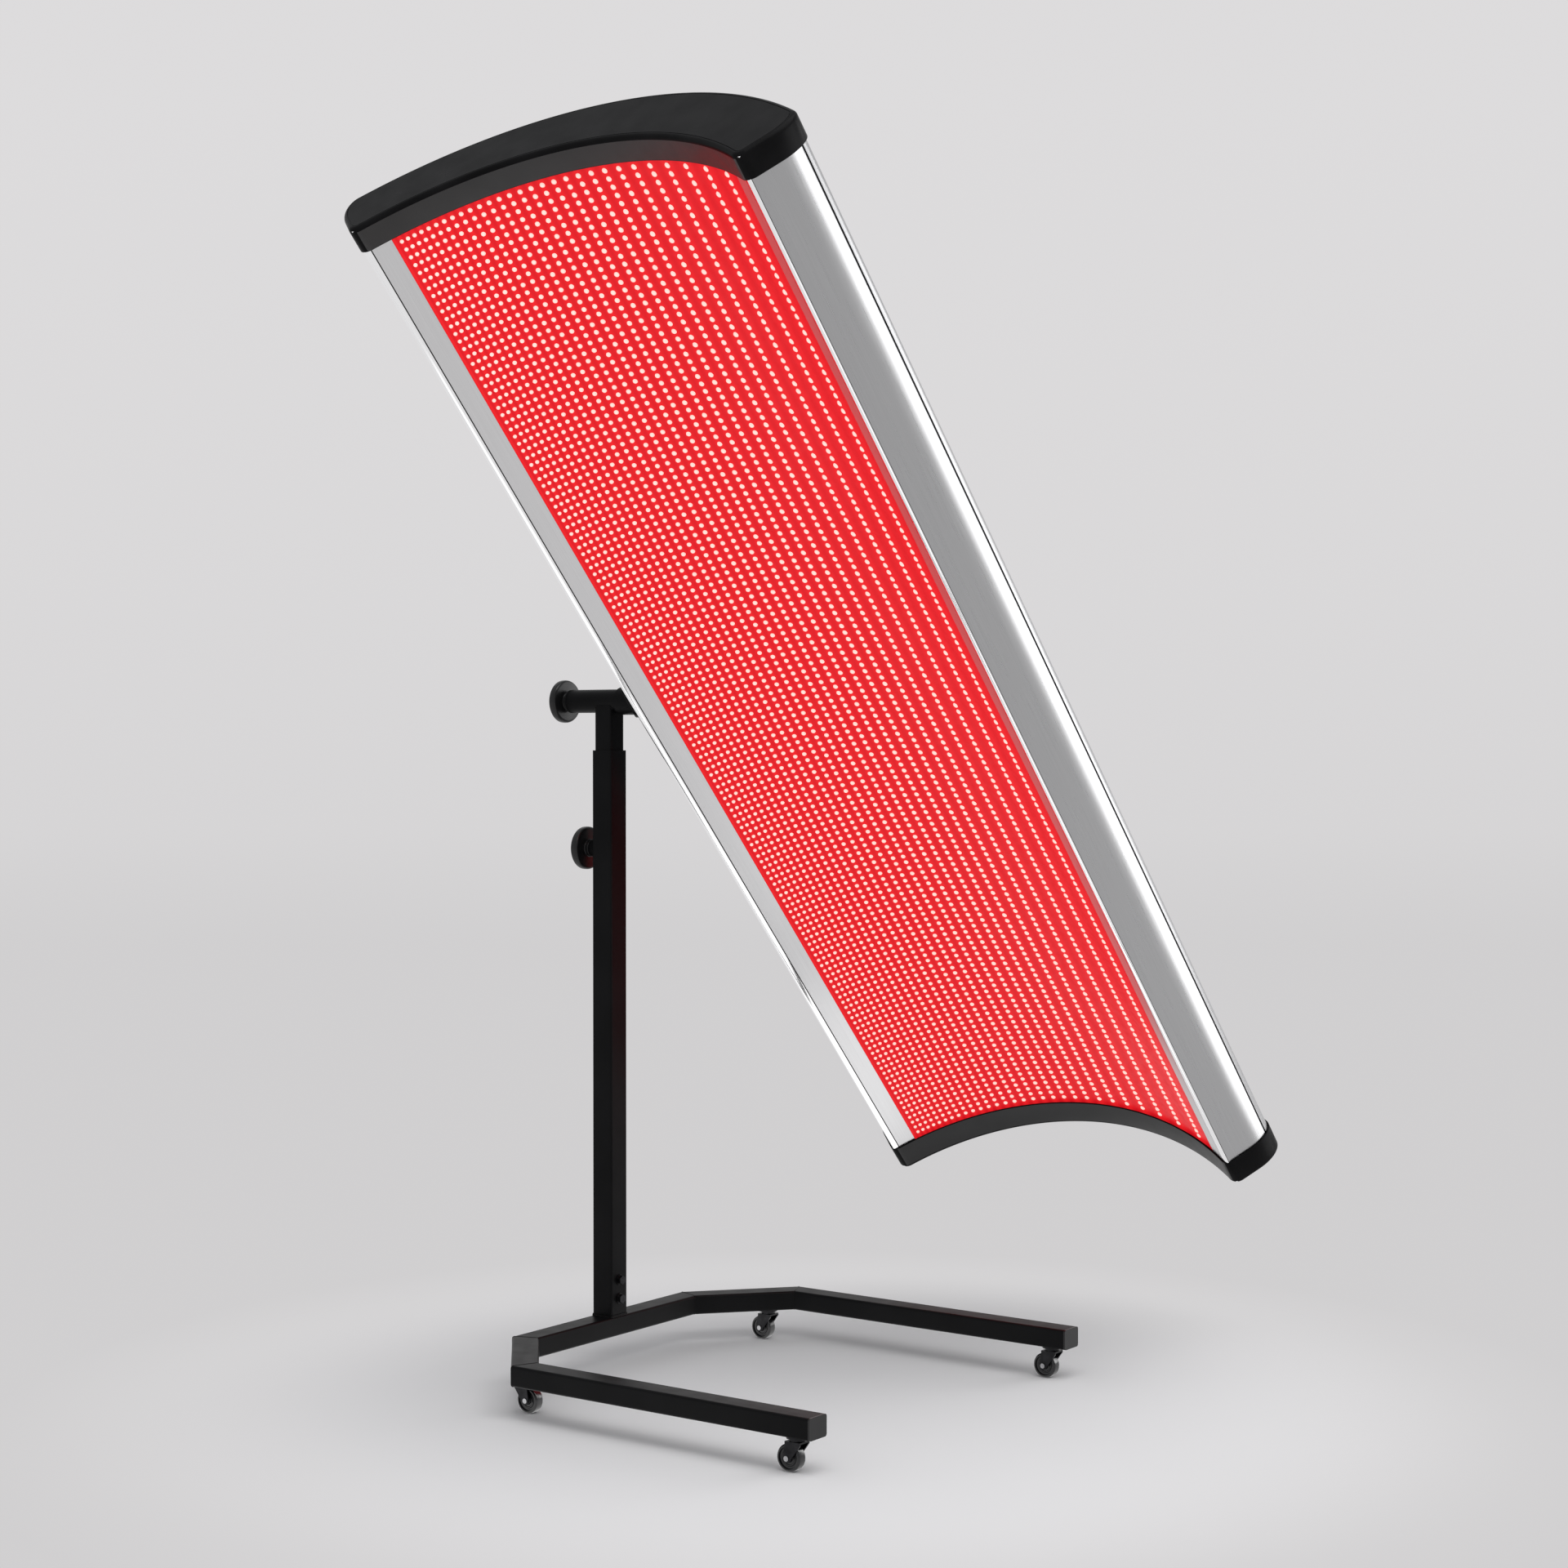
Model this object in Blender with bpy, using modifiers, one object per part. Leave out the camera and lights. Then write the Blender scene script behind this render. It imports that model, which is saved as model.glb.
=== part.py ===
"""Red light therapy canopy: a curved lamp panel, carried at one side by a telescopic mast on a wheeled base.

The base legs point to -Y, the mast stands on the middle of the crossbar, and the canopy turns about
a level tube on top of the mast. Lengths are in metres, angles in radians, +Z is up.
"""
import math

import bmesh
import bpy
from mathutils import Matrix, Vector

MM = 0.001

# Gaps and cuts that all pieces share
touch_gap = 0.3 * MM
overrun = 5.0 * MM
weld_distance = 0.01 * MM

# Steel base, bent like a wide U from five mitred tubes
leg_spacing = 701.0 * MM
crossbar_length = 416.0 * MM
corner_depth = 124.0 * MM
base_depth = 664.0 * MM
base_tube_width = 42.0 * MM
base_tube_height = 32.0 * MM
base_tube_wall = 2.0 * MM
base_tube_corner = 4.0 * MM
plug_plate = 3.0 * MM
plug_depth = 18.0 * MM

# Casters
wheel_diameter = 40.0 * MM
wheel_width = 17.0 * MM
wheel_shoulder = 3.0 * MM
wheel_rim = 4.5 * MM
wheel_recess = 3.5 * MM
wheel_hub_diameter = 13.0 * MM
wheel_hub_inset = 0.5 * MM
axle_diameter = 6.0 * MM
axle_head_diameter = 8.0 * MM
axle_head = 1.0 * MM
caster_height = 52.0 * MM
caster_trail = 10.0 * MM
caster_from_leg_end = 36.0 * MM
caster_from_corner = 50.0 * MM
caster_rest_turns = {"rear_left": math.radians(180.0), "rear_right": 0, "front_left": 0, "front_right": 0}
fork_plate = 2.5 * MM
fork_side_gap = 1.0 * MM
fork_top_gap = 2.0 * MM
fork_top_width = 26.0 * MM
fork_shoulder = 4.0 * MM
fork_eye_diameter = 13.0 * MM
fork_eye_start_share = -0.85
fork_eye_sweep_share = 0.9
seat_diameter = 32.0 * MM
seat_plate = 3.0 * MM
race_diameter = 23.0 * MM
kingpin_diameter = 6.0 * MM
kingpin_head_diameter = 10.0 * MM
kingpin_head = 1.6 * MM
caster_stem_diameter = 8.0 * MM
caster_stem_length = 14.0 * MM

# Mast: a square outer tube on a stub, and a square inner tube that slides in it
mast_top_height = 1006.0 * MM
mast_width = 40.0 * MM
mast_wall = 1.5 * MM
mast_corner = 3.0 * MM
foot_plate_width = 42.0 * MM
foot_plate = 3.0 * MM
stub_height = 90.0 * MM
stub_wall = 2.5 * MM
foot_bolt_heights = (25.5 * MM, 56.0 * MM)
foot_bolt_diameter = 8.0 * MM
foot_bolt_head_across = 13.0 * MM
foot_bolt_head = 5.5 * MM
foot_washer_diameter = 17.0 * MM
foot_washer = 1.6 * MM
foot_nut = 6.5 * MM
inner_width = 34.0 * MM
inner_wall = 2.0 * MM
inner_corner = 3.0 * MM
inner_length = 640.0 * MM
sleeve_length = 120.0 * MM
glide_flange = 12.0 * MM
glide_insert = 22.0 * MM

# Height lock on the mast's back
height_lock_drop = 160.0 * MM
boss_diameter = 26.0 * MM
boss_length = 14.0 * MM
lock_stud_diameter = 10.0 * MM

# Hand knobs
knob_diameter = 70.0 * MM
knob_thickness = 13.0 * MM
knob_edge = 4.5 * MM
knob_rim = 9.0 * MM
knob_recess = 6.0 * MM
knob_hub_diameter = 28.0 * MM
knob_hub_reach = 7.0 * MM
knob_stud_bite = 9.0 * MM
knob_crown_share = 1.6
knob_shoulder_share = 1.3

# Level tube on top of the inner mast, with the canopy's spindle in two bushes
pivot_over_mast = 80.0 * MM
head_tube_diameter = 38.0 * MM
head_tube_wall = 2.0 * MM
head_tube_front = 24.0 * MM
head_tube_back = 78.0 * MM
bush_length = 22.0 * MM
bush_flange = 2.0 * MM
spindle_diameter = 25.0 * MM
spindle_hub_diameter = 45.0 * MM
spindle_thread_depth = 34.0 * MM
tilt_stud_reach = 30.0 * MM

# Canopy: a thick arch in section, as long as a lying person, turned a little about its length on its spindle
tilt_from_vertical = math.radians(43.3)
canopy_turn = math.radians(3.8)
side_reach = 44.0 * MM
spindle_from_arch = 60.0 * MM
canopy_length = 2068.0 * MM
canopy_middle_drop = 95.0 * MM
arch_inner_radius = 490.0 * MM
canopy_thickness = 100.0 * MM
arch_half_angle = math.radians(42.0)
arch_step = math.radians(4.2)
rim_width = 29.0 * MM
rail_wall = 2.5 * MM
rail_inner_corner = 14.0 * MM
rail_outer_corner = 26.0 * MM
rail_back_return = 50.0 * MM
corner_steps = 4
near_step_share = 0.05

# Skins and boards of the canopy
lamp_board = 3.0 * MM
lamp_board_tuck = 8.0 * MM
lamp_board_count = 3
back_sheet = 2.0 * MM
back_tuck = 12.0 * MM
rib_plate = 4.0 * MM
rib_hole_diameter = 30.0 * MM
rib_hole_angle = math.radians(24.0)

# End caps
cap_wall = 3.0 * MM
cap_end_wall = 4.0 * MM
cap_top_skirt = 40.0 * MM
cap_bottom_skirt = 55.0 * MM
cap_edge = 7.0 * MM

# Spine channel with the supplies and fans
spine_width = 110.0 * MM
spine_depth = 15.0 * MM
spine_wall = 2.0 * MM
spine_lamp_gap = 8.0 * MM
supply_length = 190.0 * MM
supply_width = 72.0 * MM
supply_height = 38.0 * MM
supply_from_middle = 140.0 * MM
supply_ear = 10.0 * MM
supply_ear_width = 44.0 * MM
supply_ear_plate = 2.0 * MM
supply_edge = 2.0 * MM
fan_size = 92.0 * MM
fan_depth = 25.0 * MM
fan_bore = 86.0 * MM
fan_corner = 8.0 * MM
fan_strut = 5.0 * MM
fan_strut_depth = 3.0 * MM
fan_mount_diameter = 34.0 * MM
fan_from_middle = 620.0 * MM
rotor_diameter = 82.0 * MM
rotor_hub_diameter = 36.0 * MM
rotor_depth = 18.0 * MM
rotor_blades = 7
rotor_blade_angle = math.radians(26.0)
rotor_twist = math.radians(28.0)
vent_slots = 5
vent_slot_length = 84.0 * MM
vent_slot_width = 6.0 * MM
vent_slot_pitch = 17.0 * MM

# Spindle fixing inside the left rail
backing_length = 90.0 * MM
backing_width = 36.0 * MM
backing_plate = 5.0 * MM
pivot_bolt_diameter = 10.0 * MM
pivot_bolt_head_diameter = 18.0 * MM
pivot_bolt_head = 6.0 * MM
pivot_bolt_reach = 16.0 * MM
backing_hub_offset = 6.0 * MM

# Mains inlet with its switch, in the back near the lower end
inlet_from_end = 160.0 * MM
inlet_flange_width = 32.0 * MM
inlet_flange_length = 58.0 * MM
inlet_flange = 2.0 * MM
inlet_edge = 1.0 * MM
inlet_body_width = 27.0 * MM
inlet_body_length = 50.0 * MM
inlet_body_depth = 24.0 * MM
socket_width = 20.0 * MM
socket_length = 24.0 * MM
socket_depth = 15.0 * MM
socket_offset = 11.0 * MM
pin_width = 2.0 * MM
pin_length = 4.0 * MM
pin_height = 11.0 * MM
pin_spacing = 7.0 * MM
window_width = 15.0 * MM
window_length = 17.0 * MM
window_depth = 12.0 * MM
window_offset = 13.0 * MM
rocker_thickness = 5.0 * MM
rocker_tilt = math.radians(9.0)
rocker_side_gap = 0.6 * MM
rocker_end_gap = 1.0 * MM
rocker_rise = 1.5 * MM

# Divisions of round shapes
coarse_steps = 12
wheel_steps = 20
round_steps = 24
edge_steps = 3
cap_edge_steps = 2

# Places that follow from the sizes above
base_top = caster_height + base_tube_height
base_middle_height = caster_height + base_tube_height / 2
mast_foot_height = base_top + touch_gap + foot_plate
mast_bore = mast_width - 2 * mast_wall
pivot_height = mast_top_height + pivot_over_mast
arch_outer_radius = arch_inner_radius + canopy_thickness
board_inner_radius = arch_inner_radius + rail_wall + touch_gap
board_outer_radius = board_inner_radius + lamp_board
back_outer_radius = arch_outer_radius - rail_wall - touch_gap
back_inner_radius = back_outer_radius - back_sheet
cap_offset = touch_gap + cap_wall
rim_angle = arch_half_angle - (rail_inner_corner + rim_width) / arch_inner_radius
return_angle = arch_half_angle - rail_back_return / arch_outer_radius
board_angle = rim_angle + lamp_board_tuck / arch_inner_radius
back_angle = return_angle + back_tuck / arch_outer_radius
canopy_top = canopy_length / 2 - canopy_middle_drop
canopy_bottom = -canopy_length / 2 - canopy_middle_drop
frame_top = canopy_top - cap_end_wall - touch_gap
frame_bottom = canopy_bottom + cap_end_wall + touch_gap
spine_web_y = board_outer_radius + spine_lamp_gap + spine_depth
side_out = Vector((math.cos(arch_half_angle), -math.sin(arch_half_angle)))
side_up = Vector((math.sin(arch_half_angle), math.cos(arch_half_angle)))
spindle_on_side = (arch_inner_radius + spindle_from_arch) * Vector((-side_up.x, side_up.y))
head_tube_front_x = -(side_reach - head_tube_front)
head_tube_back_x = -(side_reach + head_tube_back)

for old in list(bpy.data.objects):
    bpy.data.objects.remove(old, do_unlink=True)

parts = bpy.data.collections.new("red_light_canopy")
cutters = bpy.data.collections.new("cutters")
bpy.context.scene.collection.children.link(parts)
bpy.context.scene.collection.children.link(cutters)


def make_material(name, colour, roughness, metallic):
    made = bpy.data.materials.new(name)
    made.use_nodes = True
    shader = made.node_tree.nodes["Principled BSDF"]
    shader.inputs["Base Color"].default_value = (*colour, 1.0)
    shader.inputs["Roughness"].default_value = roughness
    shader.inputs["Metallic"].default_value = metallic
    return made


powder_black = make_material("powder_black", (0.020, 0.020, 0.022), 0.45, 0.0)
moulded_black = make_material("moulded_black", (0.018, 0.018, 0.019), 0.40, 0.0)
tread_black = make_material("tread_black", (0.012, 0.012, 0.013), 0.25, 0.0)
dark_steel = make_material("dark_steel", (0.06, 0.06, 0.065), 0.30, 1.0)
bright_steel = make_material("bright_steel", (0.62, 0.62, 0.64), 0.28, 1.0)
satin_aluminium = make_material("satin_aluminium", (0.66, 0.67, 0.69), 0.34, 1.0)
back_silver = make_material("back_silver", (0.60, 0.61, 0.63), 0.42, 0.6)
lamp_red = make_material("lamp_red", (0.86, 0.02, 0.03), 0.40, 0.0)
nylon_white = make_material("nylon_white", (0.72, 0.72, 0.70), 0.50, 0.0)
zinc_sheet = make_material("zinc_sheet", (0.50, 0.51, 0.53), 0.45, 1.0)


def make_empty(name, location, parent=None, rotation=(0, 0, 0)):
    empty = bpy.data.objects.new(name, None)
    empty.location = location
    empty.rotation_euler = rotation
    empty.parent = parent
    parts.objects.link(empty)
    return empty


def make_object(name, mesh, material, parent, location=(0, 0, 0), rotation=(0, 0, 0)):
    made = bpy.data.objects.new(name, mesh)
    made.location = location
    made.rotation_euler = rotation
    made.parent = parent
    if material is None:
        cutters.objects.link(made)
        made.hide_render = True
        made.display_type = 'WIRE'
    else:
        mesh.materials.append(material)
        parts.objects.link(made)
    return made


def smooth(mesh):
    mesh.shade_smooth()
    mesh.set_sharp_from_angle(angle=math.radians(32))
    return mesh


def box_mesh(name, size, centre=(0, 0, 0)):
    """A box of this size about its centre."""
    bm = bmesh.new()
    bmesh.ops.create_cube(bm, size=1.0)
    place = Matrix.Translation(centre) @ Matrix.Diagonal((*size, 1))
    bmesh.ops.transform(bm, matrix=place, verts=bm.verts)
    mesh = bpy.data.meshes.new(name)
    bm.to_mesh(mesh)
    bm.free()
    return mesh


def rod_mesh(name, diameter, start, end, steps=round_steps):
    """A round rod between two points."""
    start, end = Vector(start), Vector(end)
    along = end - start
    turn = along.to_track_quat('Z', 'Y').to_matrix().to_4x4()
    bm = bmesh.new()
    bmesh.ops.create_cone(bm, cap_ends=True, segments=steps, radius1=diameter / 2, radius2=diameter / 2,
                          depth=along.length)
    bmesh.ops.transform(bm, matrix=Matrix.Translation((start + end) / 2) @ turn, verts=bm.verts)
    mesh = bpy.data.meshes.new(name)
    bm.to_mesh(mesh)
    bm.free()
    return smooth(mesh)


def plate_mesh(name, outlines, low, high):
    """Flat outlines, the later ones holes in the first, filled and raised from low to high along Z."""
    curve = bpy.data.curves.new(name, 'CURVE')
    curve.dimensions = '2D'
    curve.fill_mode = 'BOTH'
    curve.extrude = (high - low) / 2
    for outline in outlines:
        spline = curve.splines.new('POLY')
        spline.points.add(len(outline) - 1)
        for point, place in zip(spline.points, outline):
            point.co = (place[0], place[1], 0, 1)
        spline.use_cyclic_u = True
    drawn = bpy.data.objects.new(name, curve)
    cutters.objects.link(drawn)
    bpy.context.view_layer.update()
    graph = bpy.context.evaluated_depsgraph_get()
    mesh = bpy.data.meshes.new_from_object(drawn.evaluated_get(graph))
    bpy.data.objects.remove(drawn, do_unlink=True)
    bm = bmesh.new()
    bm.from_mesh(mesh)
    bmesh.ops.remove_doubles(bm, verts=bm.verts, dist=weld_distance)
    bmesh.ops.translate(bm, vec=(0, 0, (low + high) / 2), verts=bm.verts)
    bm.to_mesh(mesh)
    bm.free()
    mesh.name = name
    return smooth(mesh)


def ring_mesh(name, outer, inner, low, high):
    """Wall between two like outlines, raised from low to high along Z."""
    bm = bmesh.new()
    edges = []
    for outline in (outer, inner):
        loop = [bm.verts.new((place[0], place[1], low)) for place in outline]
        edges += [bm.edges.new((loop[index - 1], loop[index])) for index in range(len(loop))]
    faces = bmesh.ops.bridge_loops(bm, edges=edges)["faces"]
    raised = bmesh.ops.extrude_face_region(bm, geom=faces)["geom"]
    raised_verts = [item for item in raised if isinstance(item, bmesh.types.BMVert)]
    bmesh.ops.translate(bm, vec=(0, 0, high - low), verts=raised_verts)
    bmesh.ops.recalc_face_normals(bm, faces=bm.faces)
    mesh = bpy.data.meshes.new(name)
    bm.to_mesh(mesh)
    bm.free()
    return smooth(mesh)


def turned(name, profile, steps, material, parent, location=(0, 0, 0), rotation=(0, 0, 0), closed=False):
    """A solid of revolution: the profile holds (radius, height) down the outer side, top to bottom."""
    mesh = bpy.data.meshes.new(name)
    points = [(radius, 0, height) for radius, height in profile]
    edges = [(index, index + 1) for index in range(len(points) - 1)]
    if closed:
        edges.append((len(points) - 1, 0))
    mesh.from_pydata(points, edges, [])
    made = make_object(name, mesh, material, parent, location, rotation)
    screw = made.modifiers.new("turn", 'SCREW')
    screw.steps = steps
    screw.render_steps = steps
    screw.use_merge_vertices = True
    screw.merge_threshold = weld_distance
    screw.use_smooth_shade = True
    return made


def combine(target, tool, operation='DIFFERENCE'):
    boolean = target.modifiers.new(tool.name, 'BOOLEAN')
    boolean.operation = operation
    boolean.solver = 'EXACT'
    boolean.object = tool


def bevel(target, width, segments=1):
    made = target.modifiers.new("edges", 'BEVEL')
    made.width = width
    made.segments = segments
    made.limit_method = 'ANGLE'
    made.angle_limit = math.radians(40)


def rounded_rectangle(width, height, radius, steps=edge_steps):
    """Outline of a rectangle about the origin with round corners."""
    outline = []
    for quarter in range(4):
        side_x = 1 if quarter in (0, 3) else -1
        side_y = 1 if quarter < 2 else -1
        for step in range(steps + 1):
            angle = (quarter + step / steps) * math.pi / 2
            outline.append((side_x * (width / 2 - radius) + radius * math.cos(angle),
                            side_y * (height / 2 - radius) + radius * math.sin(angle)))
    return outline


def circle(diameter, steps=round_steps):
    angles = [2 * math.pi * step / steps for step in range(steps)]
    return [(diameter / 2 * math.cos(angle), diameter / 2 * math.sin(angle)) for angle in angles]


def square_tube(name, width, wall, corner, low, high, material, parent, location=(0, 0, 0)):
    outer = rounded_rectangle(width, width, corner)
    inner = rounded_rectangle(width - 2 * wall, width - 2 * wall, corner - wall)
    return make_object(name, ring_mesh(name, outer, inner, low, high), material, parent, location)


# Section of the canopy, about the centre of its arch: X across, Y to the back, Z up along the canopy


def arch_point(radius, angle):
    return radius * Vector((math.sin(angle), math.cos(angle)))


def arch_angles(start, end):
    """Angles from start to end, through the common division that all arched pieces share."""
    count = int(arch_half_angle / arch_step)
    division = [index * arch_step for index in range(-count, count + 1)]
    for shared in (rim_angle, board_angle, return_angle, back_angle):
        division += [-shared, shared]
    near = arch_step * near_step_share
    between = []
    for angle in sorted(division):
        if start + near < angle < end - near and (not between or angle > between[-1] + near):
            between.append(angle)
    return [start, *between, end]


def arch_corner(radius, corner, inset, inner):
    """Round corner between an arch and the side face, in the order of the outline."""
    reach = radius + corner if inner else radius - corner
    across = -(inset + corner)
    along = math.sqrt(reach ** 2 - across ** 2)
    from_centre = along * side_up + across * side_out
    to_arch = (-from_centre if inner else from_centre).normalized()
    start, end = (to_arch, side_out) if inner else (side_out, to_arch)
    sweep = (math.atan2(end.y, end.x) - math.atan2(start.y, start.x)) % (2 * math.pi)
    points = []
    for step in range(corner_steps + 1):
        turn = Matrix.Rotation(sweep * step / corner_steps, 2)
        points.append(from_centre + corner * (turn @ start))
    return points


def angle_on_arch(point):
    return math.atan2(point.x, point.y)


def side_path(grow, inner_from, outer_to):
    """Right half of the section, grown by this much: the inner arch, the side and back on the outer arch."""
    inner_radius = arch_inner_radius - grow
    outer_radius = arch_outer_radius + grow
    lower = arch_corner(inner_radius, rail_inner_corner + grow, -grow, True)
    upper = arch_corner(outer_radius, rail_outer_corner + grow, -grow, False)
    first = [arch_point(inner_radius, angle) for angle in arch_angles(inner_from, angle_on_arch(lower[0]))]
    last = [arch_point(outer_radius, angle) for angle in arch_angles(outer_to, angle_on_arch(upper[-1]))]
    return first[:-1] + lower + upper + last[-2::-1]


def mirrored(points):
    return [Vector((-point.x, point.y)) for point in reversed(points)]


def whole_section(grow):
    half = side_path(grow, 0, 0)
    return half + mirrored(half)[1:-1]


def band_outline(inner_radius, outer_radius, half_angle):
    """Section of a curved sheet, from one side of the arch to the other."""
    angles = arch_angles(-half_angle, half_angle)
    inner = [arch_point(inner_radius, angle) for angle in angles]
    outer = [arch_point(outer_radius, angle) for angle in reversed(angles)]
    return inner + outer


# Empties: the stand, the sliding mast, the tilting spindle and, on it, the arch's centre line

stand_frame = make_empty("stand_frame", (0, 0, 0))
mast_frame = make_empty("mast_frame", (0, 0, 0), stand_frame)
canopy_frame = make_empty("canopy_frame", (0, -side_reach, pivot_height), mast_frame,
                          (tilt_from_vertical, 0, -math.pi / 2))
arch_place = -(Matrix.Rotation(canopy_turn, 2) @ spindle_on_side)
shell_frame = make_empty("shell_frame", (arch_place.x, arch_place.y, 0), canopy_frame, (0, 0, canopy_turn))


# Base tubes


base_path = [Vector((-leg_spacing / 2, -base_depth + plug_plate + touch_gap)),
             Vector((-leg_spacing / 2, -corner_depth)),
             Vector((-crossbar_length / 2, 0)),
             Vector((crossbar_length / 2, 0)),
             Vector((leg_spacing / 2, -corner_depth)),
             Vector((leg_spacing / 2, -base_depth + plug_plate + touch_gap))]
base_names = ["base_leg_left", "base_corner_left", "base_crossbar", "base_corner_right", "base_leg_right"]


def base_tube(index):
    """One straight tube of the base, its ends sheared to the mitre with its neighbours."""
    start, end = base_path[index], base_path[index + 1]
    along = (end - start).normalized()
    length = (end - start).length
    sideways = Vector((-along.y, along.x))
    outer = rounded_rectangle(base_tube_width, base_tube_height, base_tube_corner)
    inner = rounded_rectangle(base_tube_width - 2 * base_tube_wall, base_tube_height - 2 * base_tube_wall,
                              base_tube_corner - base_tube_wall)
    mesh = ring_mesh(base_names[index], outer, inner, 0, length)
    trims = []
    for neighbour in (index - 1, index + 1):
        if 0 <= neighbour < len(base_names):
            other = (base_path[neighbour + 1] - base_path[neighbour]).normalized()
            trims.append((-sideways.dot(other) / (1 + along.dot(other)), touch_gap / 2))
        else:
            trims.append((0, 0))
    for vertex in mesh.vertices:
        if vertex.co.z < length / 2:
            slope, trim = trims[0]
            vertex.co.z = trim * math.sqrt(1 + slope ** 2) + slope * vertex.co.x
        else:
            slope, trim = trims[1]
            vertex.co.z = length - trim * math.sqrt(1 + slope ** 2) + slope * vertex.co.x
    heading = math.atan2(along.x, -along.y)
    return make_object(base_names[index], mesh, powder_black, stand_frame,
                       (start.x, start.y, base_middle_height), (math.pi / 2, 0, heading))


base_tubes = [base_tube(index) for index in range(len(base_names))]


def leg_end_plug(name, side):
    """Moulded plug with a flat plate that closes a leg's open end."""
    plate = rounded_rectangle(base_tube_width, base_tube_height, base_tube_corner)
    fit = base_tube_wall + touch_gap
    insert = rounded_rectangle(base_tube_width - 2 * fit, base_tube_height - 2 * fit,
                               base_tube_corner - base_tube_wall)
    plug = make_object(name, plate_mesh(name, [plate], 0, plug_plate), moulded_black, stand_frame,
                       (side * leg_spacing / 2, -base_depth, base_middle_height), (-math.pi / 2, 0, 0))
    tongue = make_object(name + "_tongue", plate_mesh(name, [insert], plug_plate / 2, plug_depth), None,
                         stand_frame, plug.location, plug.rotation_euler)
    combine(plug, tongue, 'UNION')


leg_end_plug("leg_end_plug_left", -1)
leg_end_plug("leg_end_plug_right", 1)


# Casters: the rear pair sits under the base corners, the front pair near the leg ends

fork_width = wheel_width + 2 * (fork_side_gap + fork_plate)
fork_top = wheel_diameter + fork_top_gap + fork_plate
race_height = caster_height - touch_gap - seat_plate


def caster_places():
    corner_end = base_path[1]
    corner_start = base_path[2]
    inwards = (corner_start - corner_end).normalized()
    rear = corner_end + inwards * caster_from_corner
    front = Vector((-leg_spacing / 2, -base_depth + caster_from_leg_end))
    for end_name, place in (("rear", rear), ("front", front)):
        yield end_name + "_left", Vector((place.x, place.y, 0))
        yield end_name + "_right", Vector((-place.x, place.y, 0))


def caster_seat(name, place):
    """Threaded stem, round seat plate, ball race and the riveted kingpin below it, turned as one."""
    pin_end = fork_top - fork_plate - touch_gap
    profile = [(0, caster_height + caster_stem_length),
               (caster_stem_diameter / 2, caster_height + caster_stem_length),
               (caster_stem_diameter / 2, caster_height - touch_gap),
               (seat_diameter / 2, caster_height - touch_gap),
               (seat_diameter / 2, race_height),
               (race_diameter / 2, race_height),
               (race_diameter / 2, fork_top + touch_gap),
               (kingpin_diameter / 2, fork_top + touch_gap),
               (kingpin_diameter / 2, pin_end),
               (kingpin_head_diameter / 2, pin_end),
               (kingpin_head_diameter / 2, pin_end - kingpin_head),
               (0, pin_end - kingpin_head)]
    turned(name + "_seat", profile, coarse_steps, dark_steel, stand_frame, place)


def caster_fork(name, swivel):
    """Folded fork: a side outline as wide as the fork, with the wheel's slot cut out of it."""
    eye = Vector((caster_trail, wheel_diameter / 2))
    eye_radius = fork_eye_diameter / 2
    top_half = fork_top_width / 2
    shoulder = fork_top - fork_shoulder
    outline = [(-top_half, fork_top), (-top_half, shoulder)]
    for step in range(coarse_steps // 2 + 1):
        angle = math.pi * (fork_eye_start_share + fork_eye_sweep_share * step / (coarse_steps // 2))
        outline.append((eye.x + eye_radius * math.cos(angle), eye.y + eye_radius * math.sin(angle)))
    outline += [(top_half, shoulder), (top_half, fork_top)]
    mesh = plate_mesh(name, [outline], -fork_width / 2, fork_width / 2)
    mesh.transform(Matrix.Rotation(math.pi / 2, 4, 'Z') @ Matrix.Rotation(math.pi / 2, 4, 'X'))
    fork = make_object(name + "_fork", mesh, dark_steel, swivel)
    slot_width = wheel_width + 2 * fork_side_gap
    slot_top = fork_top - fork_plate
    slot_length = 2 * (caster_trail + fork_eye_diameter)
    slot = box_mesh(name, (slot_width, slot_length, slot_top + overrun), (0, 0, (slot_top - overrun) / 2))
    combine(fork, make_object(name + "_slot", slot, None, swivel))
    bore = rod_mesh(name, axle_diameter + 2 * touch_gap, (-fork_width, eye.x, eye.y),
                    (fork_width, eye.x, eye.y), coarse_steps)
    combine(fork, make_object(name + "_axle_bore", bore, None, swivel))
    king = rod_mesh(name, kingpin_diameter + 2 * touch_gap, (0, 0, slot_top - overrun),
                    (0, 0, fork_top + overrun), coarse_steps)
    combine(fork, make_object(name + "_king_bore", king, None, swivel))


def caster_axle(name, swivel):
    """Rivet through the fork and the wheel, with a low head at each end."""
    head = axle_head_diameter / 2
    pin = axle_diameter / 2
    reach = fork_width / 2 + touch_gap
    profile = [(0, reach + axle_head), (head, reach + axle_head), (head, reach), (pin, reach),
               (pin, -reach), (head, -reach), (head, -reach - axle_head), (0, -reach - axle_head)]
    turned(name + "_axle", profile, coarse_steps, bright_steel, swivel,
           (0, caster_trail, wheel_diameter / 2), (0, math.pi / 2, 0))


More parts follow.
